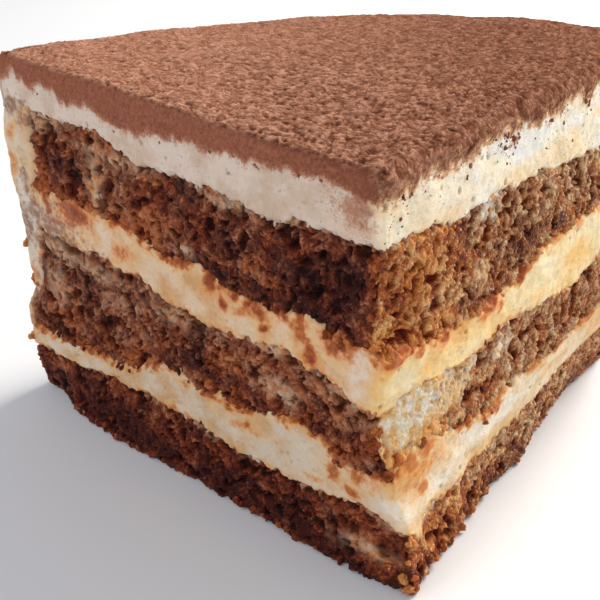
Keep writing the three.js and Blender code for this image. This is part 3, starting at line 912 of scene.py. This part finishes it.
def quarter_grid():
    """Square grid laid onto the quarter disc, with its two square shares."""
    side = np.linspace(0, 1, TOP_COUNT)
    a, b = np.meshgrid(side, side, indexing="ij")
    lower = np.where(a > 0, b / np.maximum(a, 1e-9), 0) * (QUARTER / 2)
    upper = QUARTER - np.where(b > 0, a / np.maximum(b, 1e-9), 0) * (QUARTER / 2)
    angle = np.where(b <= a, lower, upper)
    radius = CAKE_RADIUS * np.maximum(a, b)
    return radius[..., None] * np.stack([np.cos(angle), np.sin(angle)], -1), a, b


def spread_from_border(moves, a, b):
    """Moves of the grid's border carried inward, dying out over the edge band (a Coons patch)."""
    band = EDGE_BAND / CAKE_RADIUS
    near_a, near_b = (
        [np.clip(1 - side / band, 0, 1)[..., None], np.clip(1 - (1 - side) / band, 0, 1)[..., None]]
        for side in (a, b)
    )
    total = near_a[0] * moves[:1] + near_a[1] * moves[-1:]
    total = total + near_b[0] * moves[:, :1] + near_b[1] * moves[:, -1:]
    for i, j in np.ndindex(2, 2):
        total = total - near_a[i] * near_b[j] * moves[-i, -j]
    return total


def top_rise(places):
    """How far the top of the slice swells at each plan place."""
    plan = flat_points(places)
    distance = from_tip(places)
    at_rim = smooth(distance, CAKE_RADIUS - 24, CAKE_RADIUS)
    at_left = smooth(places[..., 1], 14, 0) * (1 - at_rim)
    swell = curve(RIM_RISE, np.degrees(turns_of(places))) * at_rim + curve(LEFT_RISE, distance) * at_left
    waves = 0.18 * fractal(plan, 17.0, RISE_SEED) + 0.12 * fractal(plan, 5.0, RISE_SEED + 5, 2)
    return waves + swell


def across(places):
    """How far each plan place lies toward the right side of the top."""
    return smooth(rightward(places), -60, 60)


def cocoa_skirt(places, outs):
    """Smooth rings of the cocoa's skirt, lowest first, with each point's way out, roughness and marks."""
    rounding = top_rounding(places)
    turns = np.linspace(QUARTER, 0, ROUNDING_ROWS)[:, None]
    share = np.linspace(1, 0, SKIRT_ROWS + 1)[:-1, None]
    depth = np.concatenate([rounding + share * (SKIRT_DEPTH - rounding), rounding * (1 - np.cos(turns))])
    grid = np.broadcast_to(places, (*depth.shape, 2))
    base = leaned(grid, COCOA_TOP - depth)
    right = soft_shares(grid, base)
    drop = skirt_drop(grid, base)
    film = np.clip(0.16 * (drop - depth), -1.0, 0.38 - 0.14 * right)
    under, _ = cream_relief(base)
    steep = np.clip(1 - depth / rounding, 0, 1)[..., None]
    outward = np.sqrt(1 - steep ** 2) * way_out(outs) + steep * np.array([0.0, 0.0, 1.0])
    height = under * smooth(depth, 0.0, 3.0) + film * smooth(depth, 0.0, 1.0) - top_inset(depth, rounding)
    rings = base + height[..., None] * way_out(outs)
    rings[..., 2] += top_rise(grid) * smooth(depth, 5.0, 0.0)
    on_top = smooth(depth, 0.6, 0.0)
    rough = np.maximum((0.12 + 0.4 * right) * smooth(film, 0.0, 0.3), smooth(depth, 2.2, 0.0))
    cover = np.maximum(cocoa_cover(base, right, drop - depth), on_top)
    marks = dict(skirt=(1 - right) * (1 - on_top), right=right, cocoa=cover, side=across(grid))
    return rings, outward, rough, marks


def border_outs(places):
    """Way out at each place of the top's border."""
    distance = from_tip(places)[:, None]
    on_rim = smooth(distance, CAKE_RADIUS - 1.5, CAKE_RADIUS - 0.2)
    right = smooth(rightward(places), -0.9, 0.9)[:, None]
    faces = right * np.array([-1.0, 0.0]) + (1 - right) * np.array([0.0, -1.0])
    out = on_rim * places / np.maximum(distance, 1e-6) + (1 - on_rim) * faces
    return out / np.linalg.norm(out, axis=1)[:, None]


def cocoa_dusting(material):
    """Cocoa cap: a grainy top that rounds over into a skirt down the faces."""
    nominal, a, b = quarter_grid()
    square = numbered(TOP_COUNT, TOP_COUNT)
    border = np.concatenate([square[0, :-1], square[:-1, -1], square[-1, :0:-1], square[:0:-1, 0]])
    places = nominal.reshape(-1, 2)[border]
    outs = border_outs(places)
    skirt, outward, rough, skirt_marks = cocoa_skirt(places, outs)
    flat = leaned(nominal, COCOA_TOP)
    flat[..., 2] += top_rise(nominal)
    moves = np.zeros((square.size, 3))
    moves[border] = skirt[-1] - flat.reshape(-1, 3)[border]
    flat = flat + spread_from_border(moves.reshape(flat.shape), a, b)
    grains, stand, tone = cocoa_relief(flat)
    flat[..., 2] += grains
    skirt_grains, skirt_stand, skirt_tone = cocoa_relief(skirt)
    skirt = skirt + (skirt_grains * rough)[..., None] * outward
    # The smooth skirt stands high, so it gets little painted shade
    skirt_marks["stand"] = skirt_stand * rough + 0.75 * (1 - rough)
    # The skirt's tone falls toward the tip, where the cocoa material turns it into painted shadow
    skirt_marks["tone"] = skirt_tone - 0.35 * smooth(from_tip(places), 40, 5) * skirt_marks["skirt"]
    inner_low = skirt[0] - CAP_INSET * way_out(outs)
    inner_high = inner_low.copy()
    inner_high[:, 2] = TOTAL_HEIGHT - CAP_DEPTH
    rings = np.concatenate([inner_high[None], inner_low[None], skirt[:-1]])
    points = np.concatenate([flat.reshape(-1, 3), rings.reshape(-1, 3), inner_high.mean(0)[None]])
    index = np.concatenate([numbered(*rings.shape[:2], square.size), border[None]])
    top_quads = np.stack([square[:-1, :-1], square[:-1, 1:], square[1:, 1:], square[1:, :-1]], -1)
    quads = np.concatenate([top_quads.reshape(-1, 4), ring_faces(index)])
    triangles = fan_faces(index[0], len(points) - 1, upward=False)
    blank = np.zeros_like(stand)
    marks = dict(stand=stand, tone=tone, skirt=blank, right=blank, cocoa=1 + blank, side=across(nominal))
    for mark, values in skirt_marks.items():
        hidden = np.concatenate([values[:1], values[:1], values[:-1]])
        marks[mark] = np.concatenate([marks[mark].ravel(), hidden.ravel(), [0.5]])
    piece = build_mesh("cocoa_dusting_surface", points, quads, triangles, marks, material)
    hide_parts("cocoa_dusting")


# Loose crumbs and specks

def lump_template(fineness):
    """Points and triangles of a round lump of radius 1."""
    shape = bmesh.new()
    bmesh.ops.create_icosphere(shape, subdivisions=fineness, radius=1.0)
    points = np.array([corner.co[:] for corner in shape.verts])
    faces = np.array([[corner.index for corner in face.verts] for face in shape.faces])
    shape.free()
    return points, faces


def turned(shapes, turns):
    """Each shape turned about its own middle by its own unit quaternion."""
    real, axis = turns[:, None, :1], turns[:, None, 1:]
    swung = np.cross(axis, shapes)
    return shapes + 2 * (real * swung + np.cross(axis, swung))


def crumb_cloud(name, places, outs, sizes, marks, fineness, material, rng):
    """Rough lumps of the given sizes, each partly sunk in the surface at its place."""
    template, faces = lump_template(fineness)
    count = len(places)
    stretch = rng.uniform(0.5, 1.2, (count, 1, 3))
    turns = rng.normal(size=(count, 4))
    turns /= np.linalg.norm(turns, axis=1)[:, None]
    shapes = turned(template[None] * stretch, turns) * (sizes / 2)[:, None, None]
    points = places[:, None] + shapes - (outs * (0.16 * sizes)[:, None])[:, None]
    rough = fractal(points, 0.7, LUMP_SEED) * 0.6
    points = points + shapes * rough[..., None]
    points[..., 2] = np.maximum(points[..., 2], 0.02)
    marks = each(marks, lambda values: np.repeat(values, len(template)))
    # How high each point stands, which the materials paint darker where low, as shade
    marks["stand"] = np.clip(0.65 + 0.8 * rough, 0, 1)
    triangles = (faces[None] + len(template) * np.arange(count)[:, None, None]).reshape(-1, 3)
    build_mesh(name, points.reshape(-1, 3), np.zeros((0, 4), int), triangles, marks, material)


def picked(wall, weights, count, rng):
    """Places, ways out and right shares at random points of a wall, chosen by weight."""
    weights = weights.ravel()
    chosen = rng.choice(len(weights), count, replace=False, p=weights / weights.sum())
    return [values.reshape(weights.size, -1)[chosen] for values in (wall.surface, wall.out, wall.right)]


def sponge_crumbs(creams, foot, material):
    """Crumbs stuck along the borders of the creams and round the foot."""
    rng = np.random.default_rng(CRUMB_DRAWS)
    picks = []
    for wall, count in zip(creams, CRUMBS_ON_CREAMS):
        edge = np.minimum(wall.above, wall.below)
        weights = np.exp(-((edge + 0.1) / 0.35) ** 2) * (wall.along < 89)
        picks.append(picked(wall, weights, count, rng))
    picks.append(picked(foot, np.exp(-((foot.heights - 0.8) / 0.8) ** 2), CRUMBS_AT_FOOT, rng))
    places, outs, right = (np.concatenate(column) for column in zip(*picks))
    count = len(places)
    sizes = rng.uniform(0.6, 1.2, count) ** 1.5 * 1.6
    caramel = rng.uniform(-0.3, 1.0, count).clip(0, 1)
    marks = dict(
        tone=rng.uniform(0.2, 0.8, count), right=right, creamy=np.zeros(count), caramel=caramel,
        warm=rng.uniform(0.3, 1.0, count),
    )
    crumb_cloud("sponge_crumbs", places, outs, sizes, marks, CRUMB_FINENESS, material, rng)


def side_place(face, along):
    """Plan place and way out on a cut face, or on the rim once past the face's end."""
    turn = max(0.0, along - CAKE_RADIUS) / CAKE_RADIUS
    reach = min(along, CAKE_RADIUS)
    place = (reach * math.cos(turn), reach * math.sin(turn))
    out = place if turn else (0.0, -1.0)
    if face == RIGHT:
        place, out = place[::-1], out[::-1]
    return np.array(place), np.array(out) / math.hypot(*out)


def corner_crumbs(rng):
    """Lumps down the sponge's corner at the tip, in the form of the large crumbs."""
    crumbs = []
    for low, high, count in CORNER_CRUMBS:
        heights = rng.uniform(low, high, count)
        faces = rng.integers(0, 2, count)
        alongs = rng.uniform(0.0, 1.6, count)
        sizes = rng.uniform(0.6, 1.9, count)
        soaked = rng.uniform(0.3, 1.0, count)
        crumbs.extend(zip(faces, alongs, heights, sizes, soaked))
    return crumbs


def large_crumbs(material):
    rng = np.random.default_rng(LARGE_CRUMB_DRAWS)
    crumbs = np.array([*LARGE_CRUMBS, *corner_crumbs(rng)], float)
    faces, alongs, heights, sizes, soaked = crumbs.T
    sides = [side_place(face, along) for face, along in zip(faces, alongs)]
    places, outs = (np.array(column) for column in zip(*sides))
    tone = rng.uniform(0.25, 0.7, len(crumbs))
    right = np.clip(0.1 + 0.7 * faces + (alongs > CAKE_RADIUS - 1) + 0.6 * (heights < 6), 0, 0.9)
    marks = dict(tone=tone, right=right, creamy=0 * sizes, caramel=soaked, warm=1 + 0 * sizes)
    places = leaned(places, heights)
    outs = way_out(outs)
    crumb_cloud("large_crumbs", places, outs, sizes, marks, CRUMB_FINENESS, material, rng)


def cocoa_specks(wall, material):
    """Cocoa spilled on the top cream below the edge of the dusting, most on the right face."""
    rng = np.random.default_rng(SPECK_DRAWS)
    below = -cocoa_hang(wall)
    clusters = smooth(fractal(wall.base, 5.0, SPILL_SEED), -0.4, 0.8) ** 2 + 0.04
    reach = 0.5 + 1.4 * wall.right
    weights = np.exp(-np.clip(below, 0, None) / reach) * (below > 0) * clusters * (0.25 + wall.right)
    places, outs, right = picked(wall, weights, SPECKS, rng)
    sizes = rng.uniform(0.5, 1.0, SPECKS) ** 3 * 1.05
    marks = dict(
        tone=rng.uniform(0.0, 0.7, SPECKS), right=right, skirt=rng.uniform(0.3, 1.0, SPECKS),
        cocoa=np.ones(SPECKS), side=np.ones(SPECKS),
    )
    crumb_cloud("cocoa_specks", places, outs, sizes, marks, SPECK_FINENESS, material, rng)


# Materials

def rgb(red, green, blue):
    """Linear colour from the sRGB numbers of a screen."""
    return [((c / 255 + 0.055) / 1.055) ** 2.4 if c > 10 else c / 255 / 12.92 for c in (red, green, blue)]


def rgba(red, green, blue):
    return (*rgb(red, green, blue), 1.0)


class Nodes:
    """Short way to make and join the nodes of one material."""

    def __init__(self, name):
        self.material = bpy.data.materials.new(name)
        self.material.use_nodes = True
        self.tree = self.material.node_tree
        self.tree.nodes.clear()
        self.shader = self.node("BsdfPrincipled")
        self.node("OutputMaterial", Surface=self.shader.outputs["BSDF"])
        self.place = self.node("TexCoord").outputs["Object"]

    def node(self, kind, **values):
        return self.fill(self.tree.nodes.new("ShaderNode" + kind), **values)

    def fill(self, node, **values):
        """Set inputs by name, with _ for a blank, each to a number, a colour or a socket to join."""
        for name, value in values.items():
            self.put(value, node.inputs[name.replace("_", " ")])
        return node

    def put(self, value, socket):
        if isinstance(value, bpy.types.NodeSocket):
            self.tree.links.new(value, socket)
        else:
            socket.default_value = value

    def set(self, **values):
        self.fill(self.shader, **values)

    def draw_out(self):
        """Stretch the textures that follow along the right cut face."""
        node = self.node("Mapping", Vector=self.place)
        node.vector_type = "TEXTURE"
        node.inputs["Rotation"].default_value[2] = math.radians(45)
        node.inputs["Scale"].default_value[0] = 2.2
        self.place = node.outputs["Vector"]

    def mark(self, name):
        node = self.node("Attribute")
        node.attribute_name = name
        return node.outputs["Fac"]

    def math(self, operation, first, second, clamp=False):
        node = self.node("Math")
        node.operation = operation
        node.use_clamp = clamp
        for socket, value in enumerate((first, second)):
            self.put(value, node.inputs[socket])
        return node.outputs[0]

    def times(self, first, second, clamp=False):
        return self.math("MULTIPLY", first, second, clamp)

    def varied(self, mark, value, edge, amount):
        """A mark with up to the amount added or taken off, as the value runs between the two edges."""
        return self.math("ADD", self.mark(mark), self.span(value, edge, 1 - edge, -amount, amount))

    def mix(self, share, first, second, blend="MIX"):
        node = self.node("Mix")
        node.data_type = "RGBA"
        node.blend_type = blend
        for value, socket in ((share, "Factor"), (first, 6), (second, 7)):
            self.put(value, node.inputs[socket])
        return node.outputs[2]

    def noise(self, size, detail=3.0, rough=0.55):
        """Noise whose grains are about size millimetres."""
        scale = 1 / (size * MM)
        node = self.node("TexNoise", Vector=self.place, Scale=scale, Detail=detail, Roughness=rough)
        return node.outputs["Fac"]

    def cells(self, size):
        return self.node("TexVoronoi", Vector=self.place, Scale=1 / (size * MM)).outputs["Distance"]

    def ramp(self, value, places, colours):
        """Linear colours at places of the value."""
        node = self.node("ValToRGB", Fac=value)
        elements = node.color_ramp.elements
        while len(elements) < len(places):
            elements.new(0.5)
        for element, place, colour in zip(elements, places, colours):
            element.position = place
            element.color = (*colour, 1.0)
        return node.outputs["Color"]

    def shades(self, value, places, *colours):
        """The same with the sRGB numbers of a screen."""
        return self.ramp(value, places, [rgb(*colour) for colour in colours])

    def span(self, value, low, high, to_low=0.0, to_high=1.0):
        ends = dict(From_Min=low, From_Max=high, To_Min=to_low, To_Max=to_high)
        return self.node("MapRange", Value=value, **ends).outputs["Result"]

    def bump(self, value, depth):
        """Relief of depth millimetres."""
        self.set(Normal=self.node("Bump", Distance=depth * MM, Height=value).outputs["Normal"])


def sponge_body(n, tone, stand):
    """Colour of bare sponge: dark on the left face (partly painted shade), golden on the right one, soaked
    here and there, and painted shade in its hollows.
    """
    right, warm = n.mark("right"), n.mark("warm")
    thirds = (0.1, 0.45, 0.9)
    # The left face's dark palettes are partly a wetter crumb and partly painted shade
    cool_dark = n.shades(tone, thirds, (62, 16, 8), (128, 66, 43), (208, 154, 124))
    warm_dark = n.shades(tone, thirds, (78, 19, 4), (148, 66, 31), (212, 134, 82))
    cool_gold = n.shades(tone, thirds, (102, 42, 15), (180, 113, 62), (252, 222, 176))
    warm_gold = n.shades(tone, thirds, (122, 38, 5), (200, 110, 46), (255, 208, 140))
    colour = n.mix(right, n.mix(warm, cool_dark, warm_dark), n.mix(warm, cool_gold, warm_gold))
    # Soaked crumb, dark on the left face and light on the right one; the left is partly painted shade
    soaked_dark = n.shades(tone, (0.2, 0.8), (104, 32, 5), (196, 100, 36))
    soaked_light = n.shades(tone, (0.2, 0.8), (168, 68, 12), (250, 166, 74))
    colour = n.mix(n.times(n.mark("caramel"), 0.8), colour, n.mix(right, soaked_dark, soaked_light))
    # Painted shade in the hollows between crumbs, far deeper on the shaded left face
    hollow_shade_left = n.ramp(stand, (0.05, 0.45, 0.85), ((0.18, 0.06, 0.03), (0.6, 0.46, 0.38), (1, 1, 1)))
    hollow_shade_right = n.ramp(stand, (0.05, 0.4, 0.75), ((0.36, 0.13, 0.05), (0.8, 0.66, 0.54), (1, 1, 1)))
    return n.mix(1.0, colour, n.mix(right, hollow_shade_left, hollow_shade_right), "MULTIPLY")


def sponge_material():
    """Soaked sponge with cream smeared on it, painted shade in its hollows, and pale dots on its crumbs that
    are partly painted glints.
    """
    n = Nodes("soaked_sponge")
    right, stand = n.mark("right"), n.mark("stand")
    tone = n.varied("tone", n.noise(0.38, 4.0, 0.75), 0.2, 0.32)
    colour = sponge_body(n, tone, stand)
    patches = n.noise(1.6, 4.0)
    # Cream smeared on the sponge: tan on the left face, a brighter lit copy on the right one, painted light
    gold = n.shades(patches, (0.44, 0.52, 0.61), (255, 251, 240), (254, 228, 178), (246, 182, 102))
    tan = n.shades(patches, (0.42, 0.6), (232, 202, 172), (224, 152, 96))
    # Painted shade in the hollows under the smeared cream
    shade = n.ramp(stand, (0.0, 0.5), ((0.62, 0.4, 0.24), (1, 1, 1)))
    creamy = n.mix(1.0, n.mix(right, tan, gold), shade, "MULTIPLY")
    colour = n.mix(n.times(n.mark("creamy"), n.span(right, 0, 1, 0.78, 0.97)), colour, creamy)
    # Pale dots on high crumbs, partly pale crumb and partly painted glints of wet crumb, more and brighter
    # on the lit right face
    glints_and_flecks = n.times(n.span(n.cells(0.9), 0.28, 0.12), n.span(n.noise(1.6), 0.4, 0.56), clamp=True)
    glints_and_flecks = n.times(glints_and_flecks, n.span(stand, 0.2, 0.7, 0.0, 0.75))
    glints_and_flecks = n.times(glints_and_flecks, n.span(right, 0, 1, 0.3, 1.0))
    colour = n.mix(glints_and_flecks, colour, n.mix(right, rgba(204, 172, 152), rgba(255, 240, 214)))
    n.set(Base_Color=colour, Roughness=n.span(right, 0, 1, 0.5, 0.34), Specular_IOR_Level=0.2)
    n.set(Subsurface_Weight=0.06, Subsurface_Scale=0.001, Subsurface_Radius=(1.0, 0.4, 0.15))
    n.bump(n.math("SUBTRACT", n.noise(0.3, 4.0, 0.7), n.times(n.cells(0.42), 0.6)), 0.34)
    return n.material


def creamed(n, left_colours, lit_right_colours, left_stains, lit_right_stains):
    """Colour of a cream: mottled through three colours, palest first, brighter on the right face as painted
    light, with soaked patches and with pores painted darker as shade.
    """
    n.draw_out()
    right = n.mark("right")
    mottle = n.varied("tan", n.noise(0.9, 4.0, 0.65), 0.2, -0.22)
    thirds = (0.0, 0.35, 0.95)
    # The right face takes a lit copy of each palette, painted light; the rim and the left face take the left
    # palettes
    colour = n.mix(right, n.shades(mottle, thirds, *left_colours), n.shades(mottle, thirds, *lit_right_colours))
    soak = n.varied("stain", n.noise(0.7), 0.3, 0.15)
    thirds = (0.25, 0.6, 1.0)
    stain = n.mix(right, n.shades(soak, thirds, *left_stains), n.shades(soak, thirds, *lit_right_stains))
    colour = n.mix(n.span(soak, 0.08, 0.75, 0.0, 0.96), colour, stain)
    dusk = n.varied("dusk", n.noise(1.0), 0.3, 0.45)
    colour = n.mix(n.span(dusk, 0.25, 1.0, 0.0, 0.85), colour, rgba(144, 93, 70))
    # Pores painted darker, as shade in them
    return n.mix(n.times(n.mark("pore"), 0.5), colour, rgba(150, 108, 76))


def finish_cream(n, colour):
    n.set(Base_Color=colour, Roughness=n.span(n.noise(0.6), 0.3, 0.7, 0.42, 0.6), Specular_IOR_Level=0.3)
    n.set(Subsurface_Weight=0.3, Subsurface_Scale=0.0025, Subsurface_Radius=(1.0, 0.7, 0.45))
    n.bump(n.noise(0.45, 4.0, 0.65), 0.22)
    return n.material


def soaked_cream_material():
    """The middle cream: tan where the coffee has soaked into it."""
    n = Nodes("soaked_cream")
    return finish_cream(n, creamed(
        n,
        left_colours=((232, 216, 200), (232, 200, 162), (216, 164, 110)),
        lit_right_colours=((255, 242, 218), (253, 227, 174), (248, 198, 120)),
        left_stains=((242, 186, 116), (214, 122, 50), (140, 54, 14)),
        lit_right_stains=((250, 200, 124), (236, 148, 62), (176, 76, 22)),
    ))


def pale_cream_material():
    """The lower cream and the coat: ivory with yellow patches."""
    n = Nodes("pale_cream")
    return finish_cream(n, creamed(
        n,
        left_colours=((222, 212, 200), (222, 202, 178), (212, 170, 124)),
        lit_right_colours=((244, 233, 214), (236, 215, 180), (226, 182, 122)),
        left_stains=((242, 194, 122), (220, 138, 60), (150, 62, 16)),
        lit_right_stains=((242, 196, 120), (228, 152, 68), (194, 100, 34)),
    ))


def top_cream_material():
    """The top cream: nearly white, with cocoa dusted onto it round the edge of the cap."""
    n = Nodes("top_cream")
    colour = creamed(
        n,
        left_colours=((226, 212, 200), (224, 205, 190), (208, 182, 160)),
        lit_right_colours=((255, 250, 241), (255, 242, 218), (255, 224, 178)),
        left_stains=((222, 182, 144), (180, 120, 82), (128, 70, 42)),
        lit_right_stains=((244, 208, 160), (206, 146, 100), (146, 84, 52)),
    )
    specks = n.times(n.span(n.cells(1.5), 0.1, 0.05), 0.7, clamp=True)
    colour = n.mix(specks, colour, rgba(96, 50, 30))
    return finish_cream(n, dust_over(n, colour, skirt_colour(n)))


def dust_over(n, cream, cocoa):
    """Cocoa that thins out over cream through tan, broken up into grains."""
    cover = n.span(n.varied("cocoa", n.noise(0.35, 3.0, 0.7), 0.25, 0.32), 0.15, 0.85)
    # Tan of thin cocoa over cream, lighter on the right face as painted light
    tan = n.mix(n.mark("right"), rgba(192, 137, 108), rgba(226, 172, 124))
    thin = n.mix(n.span(cover, 0.0, 0.5), cream, tan)
    return n.mix(n.span(cover, 0.35, 1.0), thin, cocoa)


def skirt_colour(n):
    return n.shades(n.noise(0.6, 5.0, 0.7), (0.3, 0.7), (134, 75, 56), (176, 115, 92))


def cocoa_material():
    """Cocoa powder: dry, with painted shade between its clumps, darker and redder on the skirt."""
    n = Nodes("cocoa_powder")
    tone = n.varied("tone", n.noise(0.3, 4.0, 0.75), 0.2, 0.36)
    left = n.shades(tone, (0.2, 0.5, 0.8), (132, 84, 64), (172, 121, 99), (206, 160, 138))
    right = n.shades(tone, (0.2, 0.5, 0.8), (100, 55, 38), (134, 87, 66), (178, 130, 107))
    powder = n.mix(n.mark("side"), left, right)
    # Painted shade between the clumps, from how high each point stands
    depths = ((0.3, 0.2, 0.15), (0.8, 0.75, 0.71), (1, 1, 1))
    powder = n.mix(1.0, powder, n.ramp(n.mark("stand"), (0.05, 0.45, 0.85), depths), "MULTIPLY")
    shadow = n.span(n.mark("tone"), 0.0, 0.5, 0.3, 0.0)
    colour = n.mix(n.mark("skirt"), powder, n.mix(shadow, skirt_colour(n), rgba(92, 42, 28)))
    # Cream under the thinning cocoa: a shaded copy on the left face and a lit copy on the right one, painted
    # shade and light
    cream = n.mix(n.mark("right"), rgba(208, 180, 162), rgba(254, 240, 212))
    n.set(Base_Color=dust_over(n, cream, colour), Roughness=0.95, Specular_IOR_Level=0.05)
    n.bump(n.math("SUBTRACT", n.noise(0.26, 4.0, 0.7), n.times(n.cells(0.5), 0.5)), 0.2)
    return n.material


def floor_material():
    n = Nodes("pale_floor")
    n.set(Base_Color=n.shades(n.noise(400.0), (0.3, 0.7), (226, 230, 238), (232, 235, 242)), Roughness=0.6)
    return n.material


# Stage

def add_floor():
    bpy.ops.mesh.primitive_plane_add(size=FLOOR_SIZE, location=(0, 0, FLOOR_HEIGHT))
    floor = bpy.context.object
    floor.name = "floor"
    floor.data.materials.append(floor_material())


def add_camera():
    yaw, pitch = math.radians(CAMERA_YAW), math.radians(CAMERA_PITCH)
    camera = added("camera", bpy.data.cameras.new("camera"))
    camera.data.lens = CAMERA_LENS
    camera.data.sensor_width = SENSOR_WIDTH
    camera.data.clip_start = 0.01
    camera.location = (Vector(CAMERA_PLACE) + Vector((*AXIS, 0))) * MM
    ahead = Vector((math.sin(yaw) * math.cos(pitch), math.cos(yaw) * math.cos(pitch), math.sin(pitch)))
    camera.rotation_euler = ahead.to_track_quat("-Z", "Y").to_euler()
    bpy.context.scene.camera = camera


def add_light(name, place, size, power, colour):
    """Square soft light that faces the slice."""
    light = bpy.data.lights.new(name, "AREA")
    light.size = size
    light.energy = power
    light.color = colour
    holder = added(name, light)
    holder.location = place
    toward = Vector(LIT_PLACE) - Vector(place)
    holder.rotation_euler = toward.to_track_quat("-Z", "Y").to_euler()


def add_lights():
    add_light("window", *WINDOW_LIGHT)
    add_light("fill", *FILL_LIGHT)
    world = bpy.data.worlds.new("studio")
    world.use_nodes = True
    background = world.node_tree.nodes["Background"]
    background.inputs["Color"].default_value = SKY_COLOUR
    background.inputs["Strength"].default_value = SKY_STRENGTH
    bpy.context.scene.world = world
    bpy.context.scene.view_settings.view_transform = "Standard"


def main():
    sponge = sponge_material()
    soaked = soaked_cream_material()
    pale = pale_cream_material()
    cocoa = cocoa_material()
    bottom_sponge = sponge_layer("bottom_sponge", BASE, BOTTOM_SPONGE_TOP, BOTTOM_SEED, False, sponge)
    lower_cream = cream_layer("lower_cream", BOTTOM_SPONGE_TOP, LOWER_CREAM_TOP, False, pale)
    sponge_layer("middle_sponge", LOWER_CREAM_TOP, MIDDLE_SPONGE_TOP, MIDDLE_SEED, True, sponge)
    middle_cream = cream_layer("middle_cream", MIDDLE_SPONGE_TOP, MIDDLE_CREAM_TOP, True, soaked)
    sponge_layer("top_sponge", MIDDLE_CREAM_TOP, TOP_SPONGE_TOP, TOP_SEED, True, sponge)
    rim_coat(pale)
    upper_cream = top_cream(top_cream_material())
    cocoa_dusting(cocoa)
    sponge_crumbs((lower_cream, middle_cream, upper_cream), bottom_sponge, sponge)
    large_crumbs(sponge)
    cocoa_specks(upper_cream, cocoa)
    add_floor()
    add_camera()
    add_lights()


main()
